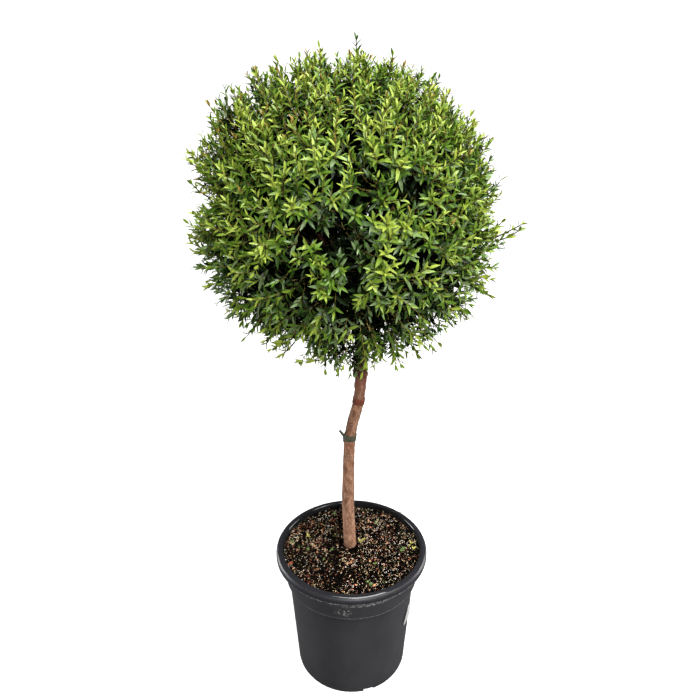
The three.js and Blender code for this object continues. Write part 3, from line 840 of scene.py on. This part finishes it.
def make_seedlings(yellow, green):
    """Rosettes of small leaves on the compost."""
    rng = np.random.default_rng(SEED + 40)
    heaps = {True: Heap(), False: Heap()}
    for x, y, size, count, is_yellow in SEEDLINGS:
        foot = on_compost(x, y, 0.5 * MM)
        turn = rng.uniform(0, 2 * math.pi) + np.arange(count) * 2.4
        lift = rng.uniform(0.25, 1.15, count)
        along = np.stack([np.cos(turn) * np.cos(lift), np.sin(turn) * np.cos(lift), np.sin(lift)], 1)
        length = size * MM * rng.uniform(0.7, 1.15, count)
        base = foot + UP * rng.uniform(0, 0.45 * size * MM, count)[:, None]
        face = np.broadcast_to(UP, along.shape) + rng.normal(0, 0.2, along.shape)
        arch, fold = np.full(count, 0.2), np.full(count, 0.3)
        add_leaves(heaps[is_yellow], base, along, face, length, length * 0.36, arch, fold, FULL_LEAF)
    for name, heap, finish in zip(("weed_yellow", "seedlings_green"), heaps.values(), (yellow, green)):
        made = heap.object(name, finish)
        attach(made, "root")


# ---- Stem, boughs and ties ----


def stem_point(t):
    """Places on the stem's line and radii there, for shares of its knots from 0 to 1."""
    last = len(STEM_LINE) - 1
    place = np.clip(t, 0, 1) * last
    i = np.minimum(place.astype(int), last - 1)
    w = (place - i)[:, None]
    line = STEM_LINE[:, :3]
    padded = np.concatenate([2 * line[:1] - line[1:2], line, 2 * line[-1:] - line[-2:-1]])
    a, b, c, d = padded[i], padded[i + 1], padded[i + 2], padded[i + 3]
    points = 0.5 * (2 * b + (c - a) * w + (2 * a - 5 * b + 4 * c - d) * w**2 + (3 * b - a - 3 * c + d) * w**3)
    return points, np.interp(place, np.arange(last + 1), STEM_LINE[:, 3])


def stem_at(height):
    """The stem's centre, direction and radius at a height."""
    t = np.linspace(0, 1, 2000)
    points, radii = stem_point(t)
    i = int(np.searchsorted(points[:, 2], height))
    return points[i], unit(points[i + 1] - points[i - 1]), radii[i]


# Knots and scars on the stem: height, azimuth, half height, half width in radians, how far each stands out.
KNOTS = [
    (528, 0, 4, 0.35, 1.6),
    (511, 185, 5, 0.3, 1.1),
    (448, -70, 2.6, 0.28, 0.7),
    (443, -120, 2, 0.25, 0.5),
    (412, -90, 3.5, 2.2, 0.3),
    (534, -60, 6, 0.7, 0.8),
    (372, 100, 3, 0.3, 0.7),
    (300, 160, 3, 0.3, 0.6),
]
# Layers of uneven bark: depth in millimetres, how fine its grain is, and its own seed.
STEM_RELIEF = [(0.16, 0.45, 1), (0.13, 1.5, 2), (0.35, 0.06, 3)]
BOUGH_RELIEF = [(0.16, 0.5, 60), (0.14, 0.12, 80)]


def uneven(t, turn, grain, seed):
    """Smooth uneven values over a limb's length and round it, about -1 to 1."""
    rng = np.random.default_rng(seed)
    swells = 7
    total = np.zeros(np.broadcast(t, turn).shape)
    for _ in range(swells):
        waves = rng.integers(1, 9)
        total += np.sin(rng.uniform(0.6, 1.4) * grain * t + waves * turn + rng.uniform(0, 6.3))
    return total / swells**0.5


def bark_relief(layers, t, turn, seed):
    return sum(depth * uneven(t, turn, grain, seed + own) for depth, grain, own in layers)


def make_stem(material):
    rows, sides = 520, 44
    points, radii = stem_point(np.linspace(0, 1, rows))
    turn = around(sides)[None]
    z = points[:, 2:] / MM
    relief = bark_relief(STEM_RELIEF, z, turn, SEED)
    for height, azimuth, tall, wide, stands in KNOTS:
        across = (turn - math.radians(azimuth) + math.pi) % (2 * math.pi) - math.pi
        relief = relief + stands * np.exp(-((z - height) / tall) ** 2 - (across / wide) ** 2)
    stem = Heap(tube(points, radii[:, None] + relief * MM, sides)).object("bark_stem", material)
    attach(stem, "root")
    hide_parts("trunk")


def strap(height, wide, thick, segments=56):
    """A strap round the stem with soft edges, square to it, in place."""
    centre, along, radius = stem_at(height)
    inner = radius + CLEARANCE
    corner = min(thick, wide) * 0.35
    outer, edge = inner + thick - corner, wide / 2 - corner
    outline = [[inner, -wide / 2 + corner], *arc((outer, -wide / 2 + corner), corner, -90, 0, 4)]
    outline += [*arc((outer, edge), corner, 0, 90, 4), [inner, edge]]
    vertices = np.concatenate([level_ring(r, z, segments) for r, z in outline])
    triangles = grid_triangles(len(outline) + 1, segments) % len(vertices)
    side = unit(np.cross(UP, along))
    front = np.cross(along, side)
    return vertices[:, :1] * front + vertices[:, 1:2] * side + vertices[:, 2:] * along + centre, triangles


TIE_HEIGHT, TIE_WIDE, TIE_THICK = 423 * MM, 10.5 * MM, 0.8 * MM
TAIL_LENGTH, TAIL_RISE, TAIL_RADIUS, KNOT_RADIUS = 12 * MM, 0.95, 2.3 * MM, 1.3 * MM
BAND_HEIGHT, BAND_WIDE, BAND_THICK = 485 * MM, 10 * MM, 0.7 * MM


def make_ties(tie_material, band_material):
    """The soft tie with its short end and knot, and the ring above it."""
    centre, _, radius = stem_at(TIE_HEIGHT)
    start = centre + np.array([-radius - CLEARANCE - 0.5 * TIE_THICK, -1 * MM, 0.5 * MM])
    t = np.linspace(0, 1, 12)[:, None]
    rise = np.array([-math.cos(TAIL_RISE), 0, math.sin(TAIL_RISE)])
    tail = start + rise * TAIL_LENGTH * t + UP * 1.5 * MM * t * (1 - t)
    down = start + np.array([-0.8, -1.2, 0]) * MM + np.linspace(4, -9, 8)[:, None] * UP * MM
    tie = Heap(
        strap(TIE_HEIGHT, TIE_WIDE, TIE_THICK),
        tube(tail, TAIL_RADIUS * (1 - 0.1 * t), 10),
        tube(down, np.full(len(down), KNOT_RADIUS), 8),
    ).object("soft_tie", tie_material)
    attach(tie, "root")
    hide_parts("stem_tie")
    band = Heap(strap(BAND_HEIGHT, BAND_WIDE, BAND_THICK)).object("stem_ring", band_material)
    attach(band, "root")
    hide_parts("stem_band")


# A mass of foliage: its node, the direction it lies in, where its own stem starts and heads, and its bough's
# node, with the place where that leaves the trunk.
Mass = namedtuple("Mass", "name direction at heading bough azimuth height radius", defaults=[None] * 4)


def crown_masses():
    masses = [Mass("crown_top", UP, CROWN_CENTRE + UP * HOLLOW_RADIUS, UP)]
    for ring, b in BOUGH_RINGS.items():
        for i in range(RING_COUNT):
            azimuth = b["turn"] + i * 360 / RING_COUNT
            masses.append(Mass(
                f"crown_{ring}_{i + 1}",
                towards(azimuth, b["rise"]),
                CROWN_CENTRE + towards(azimuth, b["meets"]) * HOLLOW_RADIUS,
                towards(azimuth, b["heading"]),
                f"bough_{ring}_{i + 1}",
                azimuth,
                b["height"] + b["step"] * ((2 * i) % RING_COUNT),
                b["root"],
            ))
    return masses


def make_boughs(masses, material):
    """Limbs from the stem to the masses, each running on into its mass as that mass's own stem."""
    boughs = Heap()
    rows, rows_on, sides = 44, 8, 14
    for i, mass in enumerate(masses):
        if not mass.bough:
            continue
        start = stem_at(mass.height)[0]
        first = start + towards(mass.azimuth, 0) * BOUGH_OUT + UP * BOUGH_UP
        end = mass.at - mass.heading * (MASS_STEM_REACH + CLEARANCE)
        t = np.linspace(0, 1, rows)
        limb = bezier(start, first, end - mass.heading * BOUGH_BACK, end, t)
        points = np.concatenate([limb, end + mass.heading * np.linspace(2, 24, rows_on)[:, None] * MM])
        taper = mass.radius + (BOUGH_TIP - mass.radius) * np.sqrt(t)
        radii = np.concatenate([taper, BOUGH_TIP * np.linspace(1, 0.75, rows_on)])[:, None]
        length = np.linspace(0, 130, len(points))[:, None]
        relief = bark_relief(BOUGH_RELIEF, length, around(sides)[None], SEED + i)
        boughs.add(*tube(points, radii + relief * MM, sides))
    boughs = boughs.object("crown_boughs", material)
    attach(boughs, "root")
    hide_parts(*[mass.bough for mass in masses if mass.bough])


# ---- Foliage ----


def spread(count, shake, rng):
    """Directions spread evenly over the ball, then shaken."""
    i = np.arange(count) + 0.5
    z = 1 - 2 * i / count
    ring = np.sqrt(1 - z * z)
    turn = math.pi * (1 + 5**0.5) * i
    even = np.stack([ring * np.cos(turn), ring * np.sin(turn), z], 1)
    return unit(even + rng.normal(0, shake / math.sqrt(count), even.shape))


def gap_depth(directions):
    """How deep the skin is sunk in each direction."""
    depth = np.zeros(len(directions))
    for towards_gap, wide, tall, deep in GAPS:
        towards_gap = unit(np.array(towards_gap))
        across = (directions[:, 0] - towards_gap[0]) / wide
        up = (directions[:, 2] - towards_gap[2]) / tall
        shape = np.where(directions[:, 1] < 0, np.exp(-(across**2) - up**2), 0)
        depth = np.maximum(depth, deep * shape)
    return depth


def bulge(directions):
    """How far the skin stands out in each direction, besides its even roundness."""
    across, up = OUTLINE_ACROSS @ directions.T
    place = np.degrees(np.arctan2(up, across)) / 10
    height = np.interp(place, np.arange(len(OUTLINE)), OUTLINE, period=len(OUTLINE))
    return height * near_outline(directions, OUTLINE_REACH)


def near_outline(directions, reach):
    """1 on the ball's outline, falling to 0 towards its front and back."""
    return np.exp(-(((directions @ OUTLINE_FORWARD - OUTLINE_LEAN) / reach) ** 2))


def on_outline(angle):
    """The direction of a place on the outline, in degrees from +X round over the top."""
    a = np.radians(angle)[:, None]
    across = np.cos(a) * OUTLINE_ACROSS[0] + np.sin(a) * OUTLINE_ACROSS[1]
    return unit(across + OUTLINE_FORWARD * OUTLINE_LEAN)


def outwards(places):
    """Directions of places from the ball's middle."""
    return unit(places - CROWN_CENTRE)


def from_middle(places):
    """Distances of places from the ball's middle."""
    return np.linalg.norm(places - CROWN_CENTRE, axis=-1)


class Shoots:
    """Many shoots: curves of three points that bear crossed pairs of leaves along their outer part."""

    def __init__(self, start, control, end, kind):
        self.start, self.control, self.end, self.kind = start, control, end, kind
        self.length = np.linalg.norm(end - start, axis=1)

    def keep(self, which):
        return Shoots(self.start[which], self.control[which], self.end[which], self.kind)

    def at(self, t):
        """Places on the shoots, for shares of their length: shoots by rows, shares by columns."""
        start, control, end = self.start[:, None], self.control[:, None], self.end[:, None]
        return (1 - t) ** 2 * start + 2 * t * (1 - t) * control + t**2 * end

    def along(self, t):
        """Their directions there."""
        start, control, end = self.start[:, None], self.control[:, None], self.end[:, None]
        return unit(2 * (1 - t) * (control - start) + 2 * t * (end - control))


def nearest_mass(directions, masses):
    return np.argmax(directions @ np.array([mass.direction for mass in masses]).T, axis=1)


def branch_curves(masses, rng):
    """Branches that fan out of each mass's own stem to just inside the ball's skin."""
    ends = spread(BRANCH_COUNT, 0.5, rng)
    owner = nearest_mass(ends, masses)
    heading = np.array([mass.heading for mass in masses])[owner]
    hub = np.array([mass.at + mass.heading * 10 * MM for mass in masses])[owner]
    tips = CROWN_CENTRE + ends * (BRANCH_END + rng.uniform(-8, 6, len(ends))[:, None] * MM)
    control = hub + heading * 12 * MM + (tips - hub) * 0.35 + rng.normal(0, 5 * MM, tips.shape)
    return owner, Shoots(hub, control, tips, "branch")


def shoot_tips(directions, rng):
    """Where shoots end: the ball's clipped skin, uneven by a little."""
    x, y, z = directions.T
    lumps = np.sin(9 * x + 4 * z) * np.sin(8 * y + 5 * z + 1)
    lumps = lumps + 0.7 * np.sin(23 * x + 3) * np.sin(21 * z + 17 * y)
    radius = SKIN_RADIUS + rng.normal(0, SKIN_PLAY, len(directions)) + SKIN_LUMPS * lumps
    radius = np.clip(radius, SKIN_RADIUS + SKIN_LIMITS[0], SKIN_RADIUS + SKIN_LIMITS[1])
    return CROWN_CENTRE + directions * (radius + bulge(directions) - gap_depth(directions))[:, None]


def heading_at(directions):
    """Shoots head outwards, and upwards except under the ball, where they hang a little."""
    lift = HEAD_UP * np.clip(directions[:, 2:] - HANG_BELOW, 0, None)
    return unit(directions + UP * lift)


def outer_shoots(masses, branches, owners, rng):
    """Shoots from each mass's nearest branch to the ball's skin, fewer round the stem and in the gaps."""
    directions = spread(OUTER_SHOOTS, 1.7, rng)
    directions = unit(directions + UP * DENSER_ABOVE * (1 - directions[:, 2:] ** 2))
    chance = rng.random(len(directions))
    from_stem = np.hypot(directions[:, 0] - 0.1, directions[:, 1])
    thinned = (directions[:, 2] < 0) & (from_stem < STEM_OPENING[0] + STEM_OPENING[1] * chance**2)
    thinned |= (directions[:, 2] < -0.25) & (chance > 0.86)
    sunk = gap_depth(directions) > (14 + 22 * chance) * MM
    directions = directions[~thinned & ~sunk]
    nearness = directions @ outwards(branches.end).T
    nearness[nearest_mass(directions, masses)[:, None] != owners[None]] = -2
    branch = branches.keep(nearness.argmax(axis=1))
    start = branch.at(rng.uniform(0.5, 1.0, (len(directions), 1, 1)))[:, 0]
    end = shoot_tips(directions, rng)
    heading = unit(heading_at(directions) + rng.normal(0, 0.16, end.shape))
    length = np.linalg.norm(end - start, axis=1)[:, None]
    control = end - heading * length * rng.uniform(0.4, 0.6, (len(end), 1))
    return Shoots(start, control, end, "outer")


def side_shoots(parents, rng):
    """Short shoots that leave others part of the way along."""
    parent = parents.keep(rng.integers(0, len(parents.start), SIDE_SHOOTS))
    t = rng.uniform(0.35, 0.75, (SIDE_SHOOTS, 1, 1))
    start, along = parent.at(t)[:, 0], parent.along(t)[:, 0]
    aside = unit(np.cross(along, rng.normal(0, 1, along.shape)))
    splay = rng.uniform(0.5, 0.95, (SIDE_SHOOTS, 1))
    heading = unit(along * np.cos(splay) + aside * np.sin(splay) + UP * 0.15)
    length = rng.uniform(*SIDE_LENGTH, (SIDE_SHOOTS, 1))
    end = start + heading * length
    bent = start + (heading + aside * 0.3) * length * 0.5
    return Shoots(start, bent, end, "side").keep(from_middle(end) < CROWN_RADIUS + 2 * MM)


def inner_shoots(branches, rng):
    """Leafy twigs along the branches, with dark leaves of painted shade, which close the view through the
    ball.
    """
    branch = branches.keep(rng.integers(0, len(branches.start), INNER_SHOOTS))
    start = branch.at(rng.uniform(0.12, 1.0, (INNER_SHOOTS, 1, 1)))[:, 0]
    outward = outwards(start) * rng.uniform(-0.9, 1.1, (len(start), 1))
    heading = unit(outward + rng.normal(0, 0.9, start.shape))
    end = start + heading * rng.uniform(*INNER_LENGTH, (len(start), 1))
    deep = from_middle(end) < SKIN_RADIUS - INNER_DEPTH - gap_depth(outwards(end)) * 0.5
    deep &= (end[:, 2] > CROWN_CENTRE[2] - 60 * MM) | (rng.random(len(end)) > 0.35)
    return Shoots(start, (start + end) / 2 + rng.normal(0, 3 * MM, end.shape), end, "inner").keep(deep)


# Shoots that stand out of the outline: degrees from +X round over the top, and reach from the ball's middle.
STRAYS = np.array([
    (87, 219), (74, 210), (64, 203), (58, 205), (51, 203), (40, 203), (31, 203), (24, 206), (15, 205),
    (357.6, 227), (0, 204), (332, 219), (323, 213), (307, 212), (298, 213), (291, 216), (273, 216),
    (262, 212), (245, 204), (241, 203), (237, 207), (229, 216), (220, 212), (213, 210), (198, 208),
    (188, 207), (165, 211), (150, 212), (143, 214), (137, 213), (130, 207), (124, 207), (114, 208),
    (106, 207), (99, 206),
])
# More of them off the outline: tips in the frame's millimetres.
FREE_STRAYS = np.array([
    [-71, -44, 562], [24, -197, 716], [-30, 199, 772], [120, 150, 800], [-130, 140, 820], [60, 170, 640],
])
STRAY_LENGTH = 62 * MM
# Shoots near the outline that run across it: degrees and distance of where they start, then of their tips.
CROSSING = np.array([
    (350, 180, 357.6, 221), (268, 182, 252.5, 197), (246, 166, 240, 192), (246, 158, 241, 182),
    (240, 160, 236, 188), (243, 150, 238, 176), (247, 172, 244, 196), (298, 150, 283, 178),
    (290, 156, 281, 190), (276, 150, 277, 186),
])
CROSSING_FRONT = np.array([0] * 2 + [22] * 8) * MM  # how far in front of the outline's plane they lie


def stray_shoots(rng):
    """Long shoots that the shears missed."""
    tips = CROWN_CENTRE + on_outline(STRAYS[:, 0]) * STRAYS[:, 1:] * MM
    tips = np.concatenate([tips, FREE_STRAYS * MM])
    out = outwards(tips)
    heading = unit(heading_at(out) + rng.normal(0, 0.08, out.shape))
    root = unit(tips - CROWN_CENTRE - heading * STRAY_LENGTH * 0.6)
    start = CROWN_CENTRE + root * (from_middle(tips)[:, None] - STRAY_LENGTH)
    end = tips - heading * LEAF_LENGTHS[0]
    return Shoots(start, end - heading * STRAY_LENGTH * 0.5, end, "stray")


def crossing_shoots():
    """Shoots between two places near the outline, bent a little outwards."""
    start_angle, start_reach, tip_angle, tip_reach = CROSSING.T
    front = OUTLINE_FORWARD * CROSSING_FRONT[:, None]
    start = CROWN_CENTRE + on_outline(start_angle) * start_reach[:, None] * MM + front
    end = CROWN_CENTRE + on_outline(tip_angle) * tip_reach[:, None] * MM + front
    return Shoots(start, (start + end) / 2 + outwards(start) * 3 * MM, end, "crossing")


# Tints by name: display colour and roughness. The darkest two are painted shade for leaves deep in the ball,
# and the sheen tint is a painted reflection of the floor.
TINTS = {
    "leaves_dark": (srgb(8, 13, 5), 0.7),
    "leaves_shade": (srgb(24, 40, 12), 0.52),
    "leaves_deep": (srgb(52, 80, 25), 0.42),
    "leaves_mid": (srgb(86, 118, 32), 0.4),
    "leaves_fresh": (srgb(114, 139, 44), 0.4),
    "leaves_lime": (srgb(146, 164, 62), 0.42),
    "leaves_bronze": (srgb(134, 116, 50), 0.45),
    "leaves_pale": (srgb(108, 130, 82), 0.42),
}
# Rungs from dark to light. Which rung a leaf gets is partly painted shade and light, set by its depth in the
# ball and its height.
LADDER = ("leaves_dark", "leaves_shade", "leaves_deep", "leaves_mid", "leaves_fresh", "leaves_lime")
TIP_TONE = {"low": 4.15, "high": 4.95}  # rungs of the ladder at the tips of shoots under the ball and on top; the higher rung on top is painted light
TONE_PLAY = 0.7
TONE_DEPTH = 9 * MM  # painted shade: how much deeper in leaves are a rung darker
BRONZE_SHARE, BRONZE_PAIRS = 0.2, 1
EDGE_PAINTED_SHADE = {"outer": 0.9, "side": 0.5, "stray": 1.6, "crossing": 0.1}  # rungs of painted shade on the outline
PAINTED_SHEEN_SHARE = 0.26
# Share of inner shoots in the darkest painted-shade tint.
INNER_DARK_SHARE = 0.8


def deal_tints(kind, base, high, rng):
    """The tint of each pair on each shoot, as a name: darker deeper in and lower down as painted shade,
    lighter on top as painted light.
    """
    count, pairs = base.shape[:2]
    if kind == "inner":
        # Painted shade: inner leaves all take the two darkest tints.
        tints = np.where(rng.random((count, 1)) < INNER_DARK_SHARE, "leaves_dark", "leaves_shade")
        return np.broadcast_to(tints, (count, pairs))
    tips = outwards(base[:, 0])
    skin = SKIN_RADIUS + bulge(tips)[:, None]
    # Painted light: tips on top are brighter than tips under the ball.
    tone = TIP_TONE["low"] + (TIP_TONE["high"] - TIP_TONE["low"]) * high
    tone = tone + rng.normal(0, TONE_PLAY, (count, 1))
    # Painted shade: a rung darker for each TONE_DEPTH deeper in, a little less so on top.
    tone = tone - np.clip((skin - from_middle(base)) / TONE_DEPTH, -0.5, None) * (1 - 0.22 * high)
    # Painted shade: leaves on the outline are darker.
    tone = tone - EDGE_PAINTED_SHADE[kind] * near_outline(tips, 0.3)[:, None] * (0.5 + 0.7 * high)
    rung = np.clip(np.round(tone + rng.uniform(-0.3, 0.3, tone.shape)), 0, len(LADDER) - 1).astype(int)
    tints = np.array(LADDER)[rung].astype("<U20")
    bronze = (rng.random((count, 1)) < BRONZE_SHARE * high**2) & (np.arange(pairs) < BRONZE_PAIRS)
    # Painted reflection of the pale floor: more pale leaves lower on the ball.
    pale = (rng.random((count, pairs)) < PAINTED_SHEEN_SHARE * (1 - high)) & (rung > 0) & (rung < 4)
    tints[bronze & (rung >= 3)] = "leaves_bronze"
    tints[pale] = "leaves_pale"
    return tints


# Pairs on a shoot, share of its length that has leaves, leaves' size and leaf pattern, by kind.
KINDS = {
    "outer": (9, 0.82, 1.0, FULL_LEAF),
    "stray": (7, 0.8, 1.06, FULL_LEAF),
    "crossing": (6, 0.95, 1.0, FULL_LEAF),
    "side": (4, 0.9, 0.92, FULL_LEAF),
    "inner": (6, 0.95, 1.35, PLAIN_LEAF),
}


def dress(shoots, heaps, rng):
    """Adds crossed pairs of leaves to shoots, small and upright at the tip, larger and spread behind it."""
    pairs, leafy, scale, pattern = KINDS[shoots.kind]
    count = len(shoots.start)
    high = np.clip((outwards(shoots.end)[:, 2:] + 0.45) / 1.3, 0, 1)
    size = scale * rng.uniform(0.86, 1.14, (count, 1)) * (1.04 - 0.19 * high)
    step = PAIR_SPACING * size * (np.arange(pairs) + rng.uniform(-0.18, 0.18, (count, pairs)))
    t = 1 - (1 * MM + step) / shoots.length[:, None]
    base, along = shoots.at(t[..., None]), shoots.along(t[..., None])
    aside = unit(np.cross(along, UP + rng.normal(0, 0.05, 3)))
    beside = np.cross(along, aside)
    turn = rng.uniform(0, 2 * math.pi, (count, 1)) + np.arange(pairs) * math.pi / 2
    turn = turn + rng.normal(0, 0.2, (count, pairs))
    tints = deal_tints(shoots.kind, base, high, rng)
    for side in (0.0, math.pi):
        out = aside * np.cos(turn + side)[..., None] + beside * np.sin(turn + side)[..., None]
        splay = (LEAF_SPLAYS[:pairs] + rng.normal(0, 0.13, (count, pairs)))[..., None]
        leaf = unit(along * np.cos(splay) + out * np.sin(splay) + rng.normal(0, 0.07, along.shape))
        face = along * np.sin(splay) - out * np.cos(splay) + UP * 0.45 + outwards(base) * 0.25
        length = LEAF_LENGTHS[:pairs] * size * rng.uniform(0.84, 1.12, (count, pairs))
        kept = (t > 1 - leafy) & (rng.random((count, pairs)) < LEAF_KEPT[:pairs])
        for name, heap in heaps.items():
            chosen = kept & (tints == name)
            long = length[chosen]
            if not long.size:
                continue
            wide = long * LEAF_WIDTH * rng.uniform(0.85, 1.15, long.size)
            arch, fold = rng.uniform(0.04, 0.42, long.size), rng.uniform(0.15, 0.5, long.size)
            add_leaves(heap, base[chosen], leaf[chosen], face[chosen], long, wide, arch, fold, pattern)


def twig_lines(groups, thick, thin, steps):
    """The curves of shoots as one object of edges with a thickness at each vertex."""
    share = np.linspace(0, 1, steps)
    points = np.concatenate([shoots.at(share[None, :, None]).reshape(-1, 3) for shoots in groups])
    count = len(points) // steps
    first = (np.arange(count)[:, None] * steps + np.arange(steps - 1)).ravel()
    mesh = bpy.data.meshes.new("twig_lines")
    mesh.vertices.add(len(points))
    mesh.vertices.foreach_set("co", points.ravel())
    mesh.edges.add(len(first))
    mesh.edges.foreach_set("vertices", np.stack([first, first + 1], 1).ravel())
    thickness = mesh.attributes.new("thickness", "FLOAT", "POINT")
    thickness.data.foreach_set("value", np.tile(thick + (thin - thick) * share, count))
    return add_object("twig_lines", mesh)


def make_crown(masses, limb_material, twig_material, young_material):
    """All leaves, one piece for each tint, and the branches and twigs that bear them."""
    rng = np.random.default_rng(SEED)
    owners, branches = branch_curves(masses, rng)
    outer = outer_shoots(masses, branches, owners, rng)
    strays = stray_shoots(rng)
    crossing = crossing_shoots()
    sides = side_shoots(outer, rng)
    inner = inner_shoots(branches, rng)
    heaps = {name: Heap() for name in TINTS}
    for shoots in (outer, strays, crossing, sides, inner):
        dress(shoots, heaps, rng)
    nodes = [mass.name for mass in masses]
    for name, heap in heaps.items():
        leaves = heap.object(name + "_1", leaf_finish(name, *TINTS[name]))
        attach(leaves, "root")
        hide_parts(*nodes)
    rule = twig_rule()
    # Name, shoots, thickness at the foot and at the tip, points on each, sides and finish.
    twigs = [
        ("crown_branches", [branches], 2.1 * MM, 1.2 * MM, 9, 6, limb_material),
        ("crown_twigs", [inner, sides], 0.8 * MM, 0.45 * MM, 4, 3, twig_material),
        ("crown_shoots", [outer], 1.0 * MM, 0.45 * MM, 6, 3, young_material),
        ("crown_strays", [strays, crossing], 1.1 * MM, 0.6 * MM, 8, 4, twig_material),
    ]
    for name, groups, thick, thin, steps, sides_round, material in twigs:
        made = rule.run(name, twig_lines(groups, thick, thin, steps), Sides=sides_round, Finish=material)
        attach(made, "root")
        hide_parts(*nodes)


# ---- Camera, floor and light ----

CAMERA_PLACE = (0, -817 * MM, 899 * MM)
CAMERA_DOWN = 22.086  # degrees below the horizon
CAMERA_LENS = 31.886  # on Blender's 36 mm sensor
IMAGE_SIDE = 700
CAMERA_ASIDE = -1.5 / IMAGE_SIDE
FLOOR_RADIUS, SWEEP, WALL_TOP = 2.6, 1.4, 3.6


def make_camera():
    camera = add_object("camera", bpy.data.cameras.new("camera"))
    camera.location = CAMERA_PLACE
    camera.rotation_euler = (math.radians(90 - CAMERA_DOWN), 0, 0)
    camera.data.lens = CAMERA_LENS
    camera.data.shift_x = CAMERA_ASIDE
    bpy.context.scene.camera = camera


def make_stage():
    """A pale floor that curves up into a round wall, open at the top."""
    profile = [(0.01, 0), (FLOOR_RADIUS, 0), *arc((FLOOR_RADIUS, SWEEP), SWEEP, -90, 0, 14)]
    profile.append((FLOOR_RADIUS + SWEEP, WALL_TOP))
    segments = 96
    rows = np.array([level_ring(radius, height, segments) for radius, height in profile])
    glow = dict(Emission_Color=(1, 1, 1, 1), Emission_Strength=0.75)
    pale = Finish("pale_floor", (0.9, 0.9, 0.9, 1), 0.9, 0.1, **glow)
    stage = Heap((rows, grid_triangles(len(rows), segments)[:, ::-1])).object("pale_stage", pale.material)
    stage.location.z = -0.2 * MM
    stage.visible_diffuse = False
    stage.visible_glossy = False


def make_light(name, place, size, power, aim, spread=180):
    """A square panel that faces a place. Its light leaves it within a cone of so many degrees."""
    light = add_object(name, bpy.data.lights.new(name, "AREA"))
    light.location = place
    light.data.size = size
    light.data.energy = power
    light.data.spread = math.radians(spread)
    light.visible_camera = False
    x, y, z = np.array(aim) - np.array(place)
    light.rotation_euler = (math.atan2(math.hypot(x, y), -z), 0, math.atan2(-x, y))


def make_lights():
    plant, pot = (0, 0, 0.57), (0, 0, 0.12)  # what they are aimed at
    make_light("sky_panel", (0.45, -0.65, 3.2), 1.9, 130, plant)
    make_light("front_panel", (0.4, -2.5, 1.7), 0.9, 73, plant)
    make_light("side_panel", (1.8, -1.2, 1.7), 0.8, 26, plant)
    make_light("left_edge_panel", (-0.9, 0.3, 0.2), 0.4, 1.0, pot, 50)
    make_light("right_edge_panel", (0.9, 0.3, 0.2), 0.4, 0.8, pot, 50)
    world = bpy.data.worlds.new("soft_daylight")
    world.use_nodes = True
    background = world.node_tree.nodes["Background"]
    plug(world.node_tree, background, {"Color": (0.95, 0.98, 1, 1), "Strength": 0.1})
    bpy.context.scene.world = world
    bpy.context.scene.view_settings.view_transform = "Standard"


make_camera()
make_stage()
make_lights()

make_pot(pot_finish())
make_tab(paper_finish())
make_compost(compost_finish())
make_grains()
make_seedlings(
    leaf_finish("weed_leaf", srgb(190, 180, 96)),
    leaf_finish("seedling_leaf", srgb(112, 138, 76)),
)

make_stem(bark_finish())
make_ties(tie_finish(), band_finish())
crown = crown_masses()
limb_bark = limb_finish()
make_boughs(crown, limb_bark)
make_crown(
    crown,
    limb_bark,
    grain_finish("twig_bark", srgb(66, 54, 38)),
    grain_finish("young_bark", srgb(138, 124, 66), 0.6),
)
